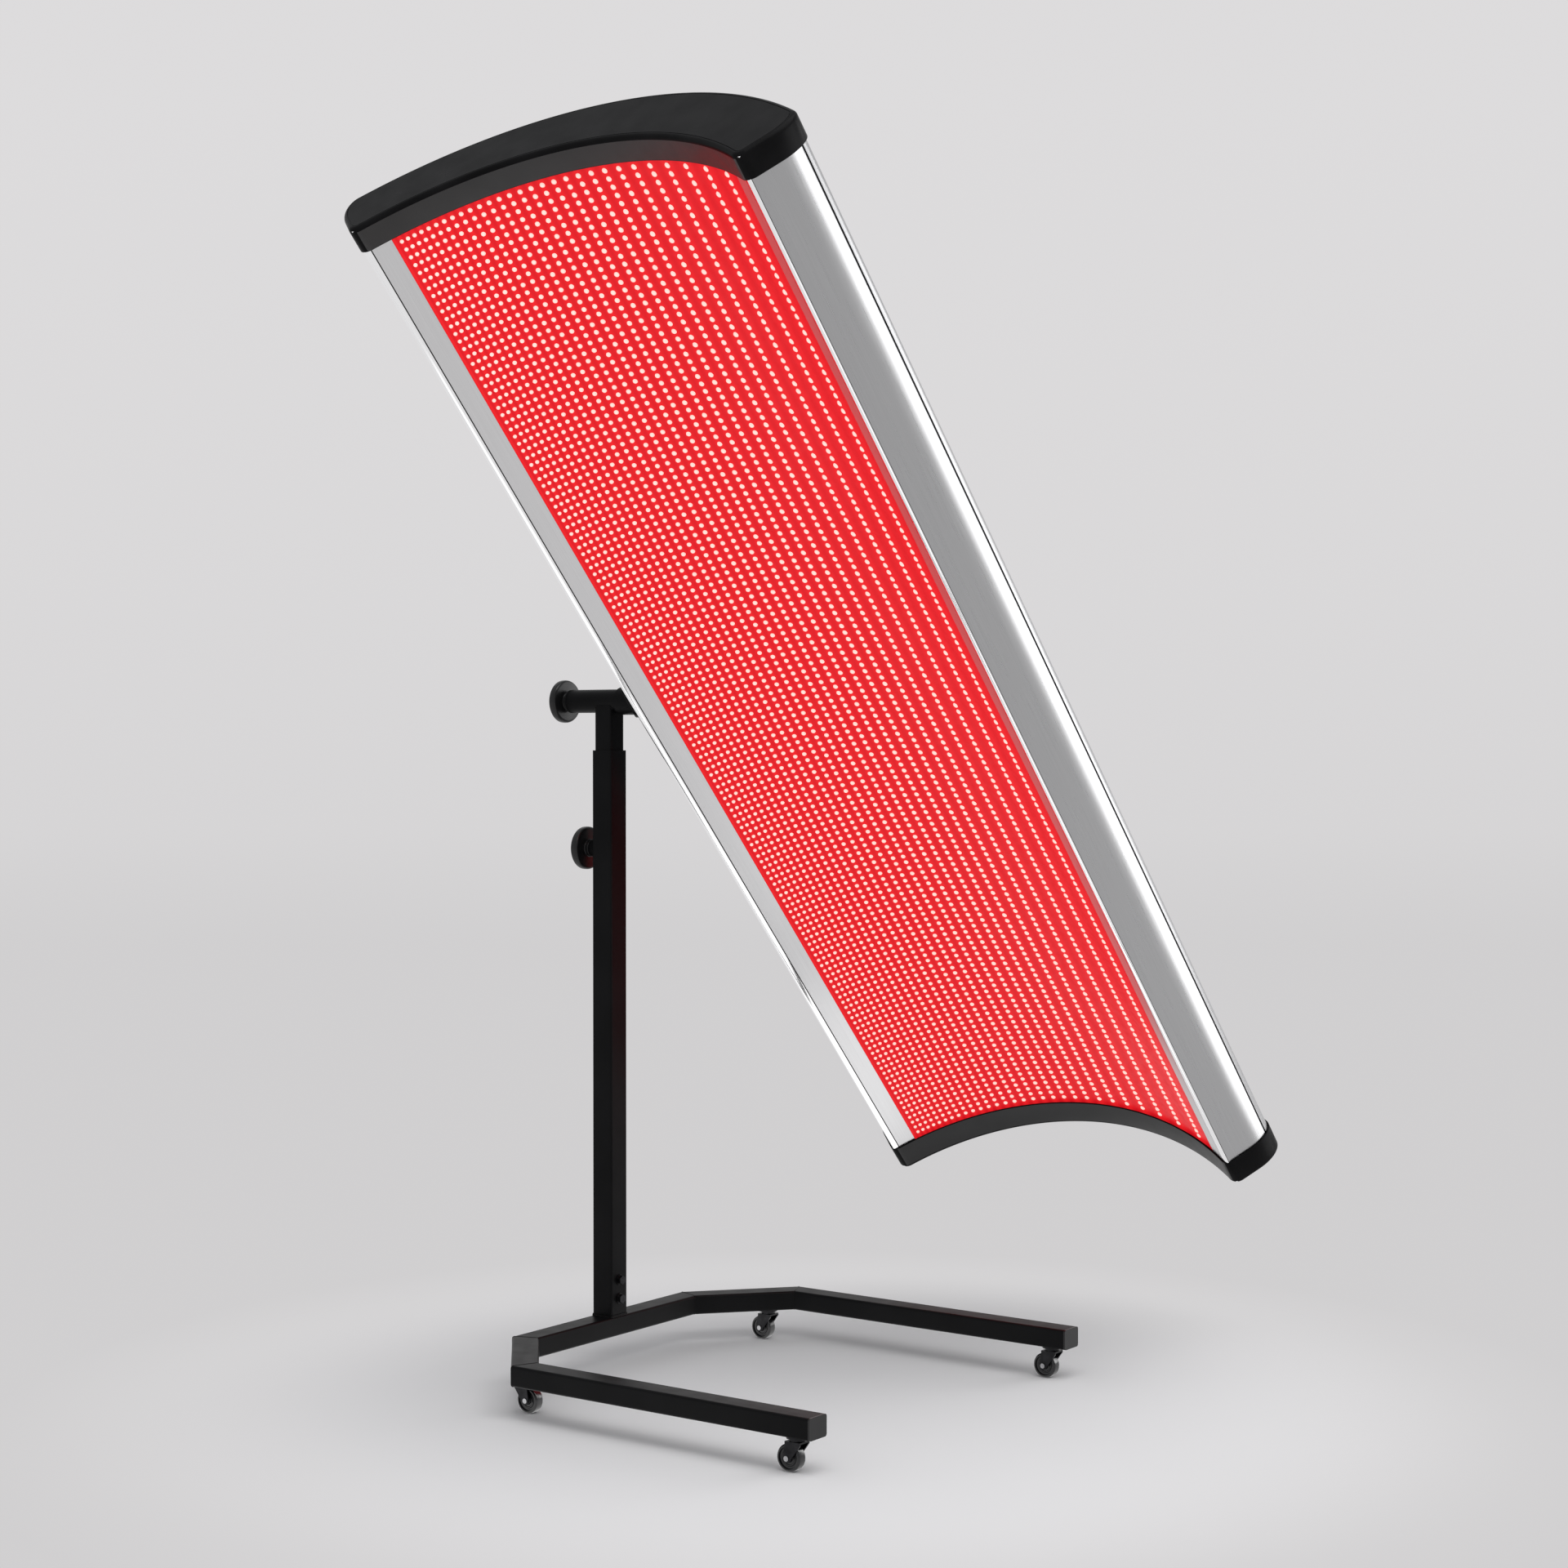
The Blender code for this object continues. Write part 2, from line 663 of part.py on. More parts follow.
def caster_wheel(name, swivel):
    """Wheel with a rounded tread, a dished web on each side and a hub bored for the axle."""
    radius = wheel_diameter / 2
    half = wheel_width / 2
    web = half - wheel_recess
    hub = wheel_hub_diameter / 2
    hub_half = half - wheel_hub_inset
    bore = axle_diameter / 2 + touch_gap
    upper = [(bore, hub_half), (hub, hub_half), (hub, web), (radius - wheel_rim, web),
             (radius - wheel_rim, half), (radius - wheel_shoulder, half), (radius, half - wheel_shoulder)]
    lower = [(place, -height) for place, height in reversed(upper)]
    turned(name + "_wheel", upper + lower, wheel_steps, tread_black, swivel,
           (0, caster_trail, wheel_diameter / 2), (0, math.pi / 2, 0), closed=True)


for corner_name, caster_place in caster_places():
    caster_name = "caster_" + corner_name
    caster_seat(caster_name, caster_place)
    swivel_frame = make_empty(caster_name + "_swivel", caster_place, stand_frame,
                              (0, 0, caster_rest_turns[corner_name]))
    caster_fork(caster_name, swivel_frame)
    caster_axle(caster_name, swivel_frame)
    caster_wheel(caster_name, swivel_frame)
    stem_bore = rod_mesh(caster_name, caster_stem_diameter + 2 * touch_gap, (0, 0, caster_height - overrun),
                         (0, 0, caster_height + overrun), coarse_steps)
    bore_tool = make_object(caster_name + "_stem_bore", stem_bore, None, stand_frame, caster_place)
    at_left = caster_place.x < 0
    if "rear" in caster_name:
        combine(base_tubes[1] if at_left else base_tubes[3], bore_tool)
    else:
        combine(base_tubes[0] if at_left else base_tubes[4], bore_tool)


# Mast


def mast_stub():
    """Square stub on a foot plate, welded to the crossbar. The mast slips over it."""
    plate = rounded_rectangle(foot_plate_width, foot_plate_width, mast_corner)
    stub = make_object("mast_stub", plate_mesh("mast_stub", [plate], base_top + touch_gap, mast_foot_height),
                       powder_black, stand_frame)
    width = mast_bore - 2 * touch_gap
    post = square_tube("stub_post", width, stub_wall, mast_corner - mast_wall + stub_wall / 2,
                       mast_foot_height - foot_plate / 2, mast_foot_height + stub_height, None, stand_frame)
    combine(stub, post, 'UNION')
    return stub


def bolt_bore(name, height):
    low = -(mast_width / 2 + overrun)
    high = -(mast_bore / 2 - touch_gap - stub_wall - overrun)
    bore = rod_mesh(name, foot_bolt_diameter + 2 * touch_gap, (0, low, height), (0, high, height),
                    coarse_steps)
    return make_object(name, bore, None, stand_frame)


stub = mast_stub()
mast = square_tube("mast_tube", mast_width, mast_wall, mast_corner, mast_foot_height + touch_gap,
                   mast_top_height, powder_black, stand_frame)


def foot_bolt(name, place):
    """Hexagon bolt with its washer on the mast's front, and its nut inside the stub."""
    face = -(mast_width / 2 + touch_gap)
    inside = -(mast_bore / 2 - touch_gap - stub_wall - touch_gap)
    corners = foot_bolt_head_across / math.cos(math.pi / 6)
    washer = rod_mesh(name, foot_washer_diameter, (0, face, place), (0, face - foot_washer, place))
    bolt = make_object(name, washer, dark_steel, stand_frame)
    head = rod_mesh("head", corners, (0, face - foot_washer / 2, place),
                    (0, face - foot_washer - foot_bolt_head, place), 6)
    shank = rod_mesh("shank", foot_bolt_diameter, (0, face - foot_washer, place),
                     (0, inside + foot_nut, place), coarse_steps)
    nut = rod_mesh("nut", corners, (0, inside, place), (0, inside + foot_nut - touch_gap, place), 6)
    for mesh in (head, shank, nut):
        combine(bolt, make_object(name + "_piece", mesh, None, stand_frame), 'UNION')
    bore = bolt_bore(name + "_bore", place)
    combine(mast, bore)
    combine(stub, bore)


for bolt_name, bolt_height in (("mast_foot_bolt_lower", foot_bolt_heights[0]),
                               ("mast_foot_bolt_upper", foot_bolt_heights[1])):
    foot_bolt(bolt_name, mast_foot_height + bolt_height)
square_tube("mast_sleeve", mast_bore - 2 * touch_gap, (mast_bore - inner_width) / 2 - 2 * touch_gap,
            mast_corner - mast_wall, mast_top_height - sleeve_length, mast_top_height, nylon_white,
            stand_frame)


def inner_mast():
    """Inner tube, coped at the top to the round tube that it carries."""
    top = pivot_height
    tube = square_tube("mast_inner_tube", inner_width, inner_wall, inner_corner, top - inner_length, top,
                       powder_black, mast_frame)
    cope = rod_mesh("cope", head_tube_diameter + 2 * touch_gap, (0, -inner_width, pivot_height),
                    (0, inner_width, pivot_height))
    combine(tube, make_object("inner_mast_cope", cope, None, mast_frame))
    above = box_mesh("above", (inner_width * 2, inner_width * 2, inner_width),
                     (0, 0, pivot_height + inner_width / 2 - touch_gap))
    combine(tube, make_object("inner_mast_above", above, None, mast_frame))


def mast_glide():
    """Nylon glide pressed into the inner tube's lower end."""
    end = pivot_height - inner_length - touch_gap
    flange = rounded_rectangle(mast_bore - 2 * touch_gap, mast_bore - 2 * touch_gap, mast_corner - mast_wall)
    fit = inner_width - 2 * (inner_wall + touch_gap)
    glide = make_object("mast_inner_glide", plate_mesh("glide", [flange], end - glide_flange, end),
                        nylon_white, mast_frame)
    tongue = plate_mesh("glide_tongue", [rounded_rectangle(fit, fit, inner_corner - inner_wall)],
                        end - glide_flange / 2, end + glide_insert)
    combine(glide, make_object("glide_tongue", tongue, None, mast_frame), 'UNION')


inner_mast()
mast_glide()


# Knobs, turned about Z and laid along Y by their frames


def hand_knob(name, parent, location, rotation):
    """Round knob with a fat rounded rim and, towards what it clamps, a recess round its hub."""
    radius = knob_diameter / 2
    hub = knob_hub_diameter / 2
    hole = lock_stud_diameter / 2 + touch_gap
    face = knob_hub_reach
    back = face + knob_thickness
    floor = face + knob_recess
    dome = knob_edge * (1 - math.sqrt(0.5))
    profile = [(0, back), (radius - knob_edge * knob_crown_share, back),
               (radius - dome * knob_shoulder_share, back - dome), (radius, back - knob_edge),
               (radius, face + knob_edge), (radius - dome, face + dome),
               (radius - knob_edge, face), (radius - knob_rim, face), (radius - knob_rim - dome, floor),
               (hub, floor), (hub, 0), (hole, 0), (hole, knob_stud_bite), (0, knob_stud_bite)]
    turned(name, profile, round_steps, moulded_black, parent, location, rotation)


def knob_stud(name, parent, location, rotation, reach):
    """Threaded stud held in the knob's hub."""
    top = knob_stud_bite - touch_gap
    rod = rod_mesh(name, lock_stud_diameter, (0, 0, -reach), (0, 0, top), coarse_steps)
    make_object(name, rod, bright_steel, parent, location, rotation)


along_plus_y = (-math.pi / 2, 0, 0)
height_lock_height = mast_top_height - height_lock_drop
boss_face = mast_width / 2 + touch_gap
height_knob_y = boss_face + boss_length + touch_gap
boss_bore = lock_stud_diameter / 2 + touch_gap
turned("height_lock_boss",
       [(boss_bore, boss_length), (boss_diameter / 2, boss_length), (boss_diameter / 2, 0), (boss_bore, 0)],
       round_steps, powder_black, stand_frame, (0, boss_face, height_lock_height), along_plus_y, closed=True)
stud_hole = rod_mesh("stud_hole", 2 * boss_bore, (0, mast_bore / 2 - overrun / 2, height_lock_height),
                     (0, mast_width / 2 + overrun, height_lock_height), coarse_steps)
combine(mast, make_object("height_stud_hole", stud_hole, None, stand_frame))
hand_knob("height_lock_knob", stand_frame, (0, height_knob_y, height_lock_height), along_plus_y)
knob_stud("height_lock_stud", stand_frame, (0, height_knob_y, height_lock_height), along_plus_y,
          height_knob_y - inner_width / 2 - touch_gap)


# Level tube, bushes and spindle

head_bore = head_tube_diameter - 2 * head_tube_wall
turned("head_tube",
       [(head_bore / 2, head_tube_back), (head_tube_diameter / 2, head_tube_back),
        (head_tube_diameter / 2, -head_tube_front), (head_bore / 2, -head_tube_front)],
       round_steps, powder_black, mast_frame, (0, 0, pivot_height), along_plus_y, closed=True)


def head_bush(name, end_y, outwards):
    """Flanged nylon bush in one end of the level tube."""
    fit = head_bore / 2 - touch_gap
    bore = spindle_diameter / 2 + touch_gap
    top = touch_gap + bush_flange
    flange = head_tube_diameter / 2
    profile = [(bore, top), (flange, top), (flange, touch_gap), (fit, touch_gap), (fit, -bush_length),
               (bore, -bush_length)]
    rotation = along_plus_y if outwards > 0 else (math.pi / 2, 0, 0)
    turned(name, profile, round_steps, moulded_black, mast_frame, (0, end_y, pivot_height), rotation,
           closed=True)


head_bush("head_bush_rear", head_tube_back, 1)
head_bush("head_bush_front", -head_tube_front, -1)

bush_reach = 2 * touch_gap + bush_flange


def canopy_spindle():
    """Spindle with a thick hub, coped to the side rail, and a blind thread for the tilt lock's stud."""
    hub_start = head_tube_front_x + bush_reach
    hub = rod_mesh("spindle", spindle_hub_diameter, (hub_start, 0, 0), (spindle_hub_diameter, 0, 0))
    spindle = make_object("canopy_spindle", hub, powder_black, canopy_frame)
    shaft = rod_mesh("shaft", spindle_diameter, (head_tube_back_x, 0, 0), (hub_start + overrun, 0, 0))
    combine(spindle, make_object("spindle_shaft", shaft, None, canopy_frame), 'UNION')
    thread = rod_mesh("thread", lock_stud_diameter + 2 * touch_gap, (head_tube_back_x - overrun, 0, 0),
                      (head_tube_back_x + spindle_thread_depth, 0, 0), coarse_steps)
    combine(spindle, make_object("spindle_thread", thread, None, canopy_frame))
    return spindle


spindle = canopy_spindle()
side_cope = plate_mesh("side_cope", [whole_section(touch_gap)], -spindle_hub_diameter, spindle_hub_diameter)
combine(spindle, make_object("spindle_cope", side_cope, None, shell_frame))

tilt_knob_x = head_tube_back_x - bush_reach
along_minus_x = (0, -math.pi / 2, 0)
hand_knob("tilt_lock_knob", canopy_frame, (tilt_knob_x, 0, 0), along_minus_x)
knob_stud("tilt_lock_stud", canopy_frame, (tilt_knob_x, 0, 0), along_minus_x, bush_reach + tilt_stud_reach)


# Canopy's side rails


def rail_section():
    outer = side_path(0, rim_angle, return_angle)
    inner = side_path(-rail_wall, rim_angle, return_angle)
    return outer + inner[::-1]


make_object("side_rail_right", plate_mesh("side_rail_right", [rail_section()], frame_bottom, frame_top),
            satin_aluminium, shell_frame)
rail_left = make_object("side_rail_left",
                        plate_mesh("side_rail_left", [mirrored(rail_section())], frame_bottom, frame_top),
                        satin_aluminium, shell_frame)


# Backing plate and bolt that hold the spindle from inside the left rail

left_out = Vector((-side_out.x, side_out.y, 0))
left_up = Vector((-side_up.x, side_up.y, 0))
left_along = Vector((0, 0, -1))
side_frame = Matrix((left_up, left_along, left_out)).transposed().to_4x4()
side_frame.translation = Vector((spindle_on_side.x, spindle_on_side.y, 0)) - left_up * backing_hub_offset


def on_side(mesh):
    """Moves a mesh from the side face's frame (up the face, along the canopy, outwards) to the section's."""
    mesh.transform(side_frame)
    return mesh


def pivot_fixing():
    inner_face = -(rail_wall + touch_gap)
    plate = box_mesh("backing", (backing_width, backing_length, backing_plate),
                     (0, 0, inner_face - backing_plate / 2))
    backing = make_object("pivot_backing_plate", on_side(plate), zinc_sheet, shell_frame)
    low = inner_face - backing_plate - touch_gap
    head = rod_mesh("pivot_bolt", pivot_bolt_head_diameter, (0, 0, low - pivot_bolt_head), (0, 0, low),
                    coarse_steps)
    bolt = make_object("pivot_bolt", on_side(head), bright_steel, shell_frame)
    shank = rod_mesh("shank", pivot_bolt_diameter, (0, 0, low - pivot_bolt_head / 2),
                     (0, 0, pivot_bolt_reach), coarse_steps)
    combine(bolt, make_object("pivot_bolt_shank", on_side(shank), None, shell_frame), 'UNION')
    bore = rod_mesh("bore", pivot_bolt_diameter + 2 * touch_gap, (0, 0, low - overrun),
                    (0, 0, pivot_bolt_reach + touch_gap), coarse_steps)
    bore_tool = make_object("pivot_bolt_bore", on_side(bore), None, shell_frame)
    for target in (backing, rail_left, spindle):
        combine(target, bore_tool)


pivot_fixing()


# Lamp boards, back cover, ribs and spine


board_length = (frame_top - frame_bottom - touch_gap * (lamp_board_count - 1)) / lamp_board_count
board_section = band_outline(board_inner_radius, board_outer_radius, board_angle)
for board, board_name in enumerate(("lamp_board_lower", "lamp_board_middle", "lamp_board_upper")):
    board_low = frame_bottom + board * (board_length + touch_gap)
    make_object(board_name, plate_mesh(board_name, [board_section], board_low, board_low + board_length),
                lamp_red, shell_frame)

back_section = band_outline(back_inner_radius, back_outer_radius, back_angle)
back_cover = make_object("back_cover", plate_mesh("back_cover", [back_section], frame_bottom, frame_top),
                         back_silver, shell_frame)
fan_places = {"upper": fan_from_middle - canopy_middle_drop, "lower": -fan_from_middle - canopy_middle_drop}
for fan_place in fan_places.values():
    for slot_index in range(vent_slots):
        slot_x = (slot_index - (vent_slots - 1) / 2) * vent_slot_pitch
        slot_mesh = box_mesh("vent_slot", (vent_slot_width, 4 * overrun, vent_slot_length),
                             (slot_x, back_inner_radius, fan_place))
        combine(back_cover, make_object("vent_slot", slot_mesh, None, shell_frame))


def spine_channel():
    """Channel along the canopy, open towards the lamps, that carries the supplies and fans."""
    half = spine_width / 2
    low = spine_web_y - spine_depth
    inner_half = half - spine_wall
    outline = [(-half, low), (-inner_half, low), (-inner_half, spine_web_y - spine_wall),
               (inner_half, spine_web_y - spine_wall), (inner_half, low), (half, low), (half, spine_web_y),
               (-half, spine_web_y)]
    spine = make_object("spine_channel", plate_mesh("spine", [outline], frame_bottom, frame_top), zinc_sheet,
                        shell_frame)
    for place in fan_places.values():
        bore = rod_mesh("air_hole", fan_bore, (0, spine_web_y - overrun, place),
                        (0, spine_web_y + overrun, place))
        combine(spine, make_object("air_hole", bore, None, shell_frame))


def frame_rib(name, middle):
    """Arched plate that ties the rails, boards, spine and back cover together at a board joint."""
    path = side_path(-(rail_wall + touch_gap), 0, 0)
    outline = []
    for point in path:
        radius = min(max(point.length, board_outer_radius + touch_gap), back_inner_radius - touch_gap)
        outline.append(point.normalized() * radius)
    outline = outline + mirrored(outline)[1:-1]
    rib = make_object(name, plate_mesh(name, [outline], middle - rib_plate / 2, middle + rib_plate / 2),
                      zinc_sheet, shell_frame)
    window = box_mesh("window", (spine_width + 2 * touch_gap, spine_depth + 2 * touch_gap, 2 * rib_plate),
                      (0, spine_web_y - spine_depth / 2, middle))
    combine(rib, make_object("rib_window", window, None, shell_frame))
    for side in (-1, 1):
        at = arch_point((board_outer_radius + back_inner_radius) / 2, side * rib_hole_angle)
        hole = rod_mesh("rib_hole", rib_hole_diameter, (at.x, at.y, middle - rib_plate),
                        (at.x, at.y, middle + rib_plate), wheel_steps)
        combine(rib, make_object("rib_hole", hole, None, shell_frame))


spine_channel()
frame_rib("frame_rib_lower", frame_bottom + board_length + touch_gap / 2)
frame_rib("frame_rib_upper", frame_top - board_length - touch_gap / 2)


# End caps


def cap_mesh(name, low, high, closed_at_top):
    """Solid block of the grown section with its closed end's edge rounded."""
    mesh = plate_mesh(name, [whole_section(cap_offset)], low, high)
    bm = bmesh.new()
    bm.from_mesh(mesh)
    bmesh.ops.dissolve_limit(bm, angle_limit=math.radians(0.5), verts=bm.verts, edges=bm.edges)
    end = high if closed_at_top else low
    rim = [edge for edge in bm.edges if all(abs(vertex.co.z - end) < weld_distance for vertex in edge.verts)]
    bmesh.ops.bevel(bm, geom=rim, offset=cap_edge, segments=cap_edge_steps, profile=0.5, affect='EDGES')
    bm.to_mesh(mesh)
    bm.free()
    return smooth(mesh)


def end_cap(name, end, skirt, closed_at_top):
    """Moulded cap, a cup over the end of the canopy with a skirt on all its sides."""
    inwards = -1 if closed_at_top else 1
    low, high = sorted((end, end + inwards * skirt))
    cap = make_object(name, cap_mesh(name, low, high, closed_at_top), moulded_black, shell_frame)
    low, high = sorted((end + inwards * cap_end_wall, end + inwards * (skirt + overrun)))
    cavity = plate_mesh(name + "_cavity", [whole_section(touch_gap)], low, high)
    combine(cap, make_object(name + "_cavity", cavity, None, shell_frame))


end_cap("end_cap_top", canopy_top, cap_top_skirt, True)
end_cap("end_cap_bottom", canopy_bottom, cap_bottom_skirt, False)


# Supplies and fans on the spine

deck_y = spine_web_y + touch_gap


def power_supply(name, middle):
    """Driver in a folded case with a fixing ear at each end."""
    case = box_mesh(name, (supply_width, supply_height, supply_length),
                    (0, deck_y + supply_height / 2, middle))
    supply = make_object(name, case, zinc_sheet, shell_frame)
    bevel(supply, supply_edge)
    ears = box_mesh("ears", (supply_ear_width, supply_ear_plate, supply_length + 2 * supply_ear),
                    (0, deck_y + supply_ear_plate / 2, middle))
    combine(supply, make_object(name + "_ears", ears, None, shell_frame), 'UNION')


power_supply("power_supply_upper", supply_from_middle - canopy_middle_drop)
power_supply("power_supply_lower", -supply_from_middle - canopy_middle_drop)

to_the_back = (-math.pi / 2, 0, 0)


def fan_frame(name, place):
    """Square frame with struts to the motor mount, which stands on the spine side."""
    outline = rounded_rectangle(fan_size, fan_size, fan_corner)
    frame = make_object(name, plate_mesh(name, [outline, circle(fan_bore)], 0, fan_depth), moulded_black,
                        shell_frame, (0, deck_y, place), to_the_back)
    reach = (fan_bore + fan_size) / 2
    for across, along in ((reach, fan_strut), (fan_strut, reach)):
        bar = box_mesh("strut", (across, along, fan_strut_depth), (0, 0, fan_strut_depth / 2))
        strut = make_object("fan_strut", bar, None, shell_frame, frame.location, to_the_back)
        combine(frame, strut, 'UNION')
    disc = rod_mesh("mount", fan_mount_diameter, (0, 0, 0), (0, 0, fan_strut_depth))
    mount = make_object("fan_mount", disc, None, shell_frame, frame.location, to_the_back)
    combine(frame, mount, 'UNION')


def fan_rotor(name, place):
    """Hub and twisted blades: a star outline whose far end is turned."""
    outline = []
    pitch = 2 * math.pi / rotor_blades
    hub_gap = pitch - rotor_blade_angle
    for blade in range(rotor_blades):
        start = blade * pitch
        outline.append((rotor_diameter / 2, start))
        outline.append((rotor_diameter / 2, start + rotor_blade_angle / 2))
        outline.append((rotor_diameter / 2, start + rotor_blade_angle))
        outline.append((rotor_hub_diameter / 2, start + rotor_blade_angle))
        outline.append((rotor_hub_diameter / 2, start + rotor_blade_angle + hub_gap / 2))
        outline.append((rotor_hub_diameter / 2, start + pitch))
    flat = [(radius * math.cos(angle), radius * math.sin(angle)) for radius, angle in outline]
    mesh = plate_mesh(name, [flat], 0, rotor_depth)
    for vertex in mesh.vertices:
        if vertex.co.z > rotor_depth / 2:
            vertex.co = Matrix.Rotation(rotor_twist, 3, 'Z') @ vertex.co
    make_object(name, mesh, moulded_black, shell_frame, (0, deck_y + fan_strut_depth + touch_gap, place),
                to_the_back)


for fan_name, fan_place in fan_places.items():
    fan_frame("fan_frame_" + fan_name, fan_place)
    fan_rotor("fan_rotor_" + fan_name, fan_place)


# Mains inlet and its switch, in a module on the back near the lower end

inlet_place = (0, back_outer_radius + touch_gap, canopy_bottom + inlet_from_end)


def power_inlet():
    """Inlet module in its own frame: X across, Y along the canopy, Z out of the back."""
    flange = rounded_rectangle(inlet_flange_width, inlet_flange_length, inlet_flange)
    module = make_object("power_inlet", plate_mesh("power_inlet", [flange], 0, inlet_flange), moulded_black,
                         shell_frame, inlet_place, to_the_back)
    bevel(module, inlet_edge / 2)

    def tool(name, size, centre, operation):
        made = make_object(name, box_mesh(name, size, centre), None, shell_frame, inlet_place, to_the_back)
        combine(module, made, operation)

    tool("inlet_body", (inlet_body_width, inlet_body_length, inlet_body_depth),
         (0, 0, inlet_edge - inlet_body_depth / 2), 'UNION')
    tool("inlet_socket", (socket_length, socket_width, socket_depth + overrun),
         (0, socket_offset, inlet_flange + (overrun - socket_depth) / 2), 'DIFFERENCE')
    tool("switch_window", (window_width, window_length, window_depth + overrun),
         (0, -window_offset, inlet_flange + (overrun - window_depth) / 2), 'DIFFERENCE')
    floor = inlet_flange - socket_depth
    for column, row in ((-1, 0), (0, 1), (1, 0)):
        pin_middle = floor + pin_height / 2 - inlet_edge / 2
        tool("inlet_pin", (pin_width, pin_length, pin_height),
             (column * pin_spacing, socket_offset + row * pin_length, pin_middle), 'UNION')
    hole_size = (inlet_body_width + 2 * touch_gap, inlet_body_length + 2 * touch_gap, 4 * overrun)
    hole = make_object("inlet_hole", box_mesh("inlet_hole", hole_size), None, shell_frame, inlet_place,
                       to_the_back)
    combine(back_cover, hole)


def switch_rocker():
    """Rocker with two sloping faces, at rest tipped to its on side."""
    half = window_length / 2 - rocker_end_gap
    width = window_width - 2 * rocker_side_gap
    dip = half * math.tan(rocker_tilt)
    outline = [(-half, -rocker_thickness), (half, -rocker_thickness), (half, rocker_rise + dip),
               (0, rocker_rise), (-half, rocker_rise + dip)]
    mesh = plate_mesh("rocker", [outline], -width / 2, width / 2)
    mesh.transform(Matrix.Rotation(rocker_tilt, 4, 'X') @ Matrix.Rotation(math.pi / 2, 4, 'Z')
                   @ Matrix.Rotation(math.pi / 2, 4, 'X'))
    place = Vector(inlet_place) + Vector((0, inlet_flange - rocker_rise, window_offset))
    make_object("switch_rocker", mesh, lamp_red, shell_frame, place, to_the_back)


power_inlet()
switch_rocker()


# The model's origin is the middle of its bounding box at floor level


def centre_on_floor():
    bpy.context.view_layer.update()
    graph = bpy.context.evaluated_depsgraph_get()
    low = Vector((math.inf,) * 3)
    high = Vector((-math.inf,) * 3)
    for piece in parts.objects:
        if piece.type != 'MESH':
            continue
        evaluated = piece.evaluated_get(graph)
        mesh = evaluated.to_mesh()
        for vertex in mesh.vertices:
            place = evaluated.matrix_world @ vertex.co
            low = Vector(map(min, low, place))
            high = Vector(map(max, high, place))
        evaluated.to_mesh_clear()
    stand_frame.location = (-(low.x + high.x) / 2, -(low.y + high.y) / 2, -low.z)
    bpy.context.view_layer.update()


centre_on_floor()
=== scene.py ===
"""Red light therapy canopy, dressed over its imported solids.

An arched lamp panel hangs beside a square telescopic mast on a wheeled steel base. Lengths are in
metres, +Z is up, and every piece is drawn where it stands at rest, then rides on its moving body.
"""
import math

import bmesh
import bpy
from mathutils import Euler, Matrix, Vector


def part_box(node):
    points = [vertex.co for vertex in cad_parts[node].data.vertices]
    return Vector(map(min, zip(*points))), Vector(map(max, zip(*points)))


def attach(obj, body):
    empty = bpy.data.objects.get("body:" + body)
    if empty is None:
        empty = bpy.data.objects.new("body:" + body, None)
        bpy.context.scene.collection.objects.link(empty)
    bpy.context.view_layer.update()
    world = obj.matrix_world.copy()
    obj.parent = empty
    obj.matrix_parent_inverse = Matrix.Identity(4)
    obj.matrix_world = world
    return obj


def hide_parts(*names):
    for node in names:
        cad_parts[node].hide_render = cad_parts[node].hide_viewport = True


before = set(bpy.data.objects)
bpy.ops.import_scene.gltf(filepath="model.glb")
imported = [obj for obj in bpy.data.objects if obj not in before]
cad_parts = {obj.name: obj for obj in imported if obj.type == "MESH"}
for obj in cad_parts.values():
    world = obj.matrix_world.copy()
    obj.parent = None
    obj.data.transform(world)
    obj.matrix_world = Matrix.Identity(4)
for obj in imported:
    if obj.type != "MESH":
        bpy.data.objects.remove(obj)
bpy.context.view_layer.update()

# Base tubes
# The wheeled base is made from five mitred lengths of oblong steel tube, welded together and powder
# coated in satin black. The coat has a fine orange peel and is a little paler where it is rubbed.

MM = 0.001
BLACK_COAT = (0.0030, 0.0030, 0.0033)
WORN_COAT = (0.0052, 0.0052, 0.0056)
ROUND_PART_ANGLE = 34


def finish_of(name, colour, roughness, metallic=0.0):
    """A new node material with the main numbers of its shader."""
    finish = bpy.data.materials.new(name)
    finish.use_nodes = True
    shader = finish.node_tree.nodes["Principled BSDF"]
    shader.inputs["Base Color"].default_value = (*colour, 1)
    shader.inputs["Roughness"].default_value = roughness
    shader.inputs["Metallic"].default_value = metallic
    return finish


def shader_of(finish):
    return finish.node_tree.nodes["Principled BSDF"]


def dull_skin(finish, level, bend=1.5):
    """Sets how strongly the finish mirrors and how much it bends light."""
    shader_of(finish).inputs["Specular IOR Level"].default_value = level
    shader_of(finish).inputs["IOR"].default_value = bend


def add_node(finish, kind):
    return finish.node_tree.nodes.new(kind)


def wire(finish, source, target):
    finish.node_tree.links.new(source, target)


def grains(finish, size, stretch=(1, 1, 1), detail=3.0, laid_out=False):
    """Noise with grains of this size, read where the piece lies or along its laid out skin."""
    place = add_node(finish, "ShaderNodeTexCoord").outputs["UV" if laid_out else "Object"]
    spread = add_node(finish, "ShaderNodeMapping")
    spread.inputs["Scale"].default_value = [share / size for share in stretch]
    noise = add_node(finish, "ShaderNodeTexNoise")
    noise.inputs["Scale"].default_value = 1.0
    noise.inputs["Detail"].default_value = detail
    wire(finish, place, spread.inputs["Vector"])
    wire(finish, spread.outputs["Vector"], noise.inputs["Vector"])
    return noise.outputs["Fac"]


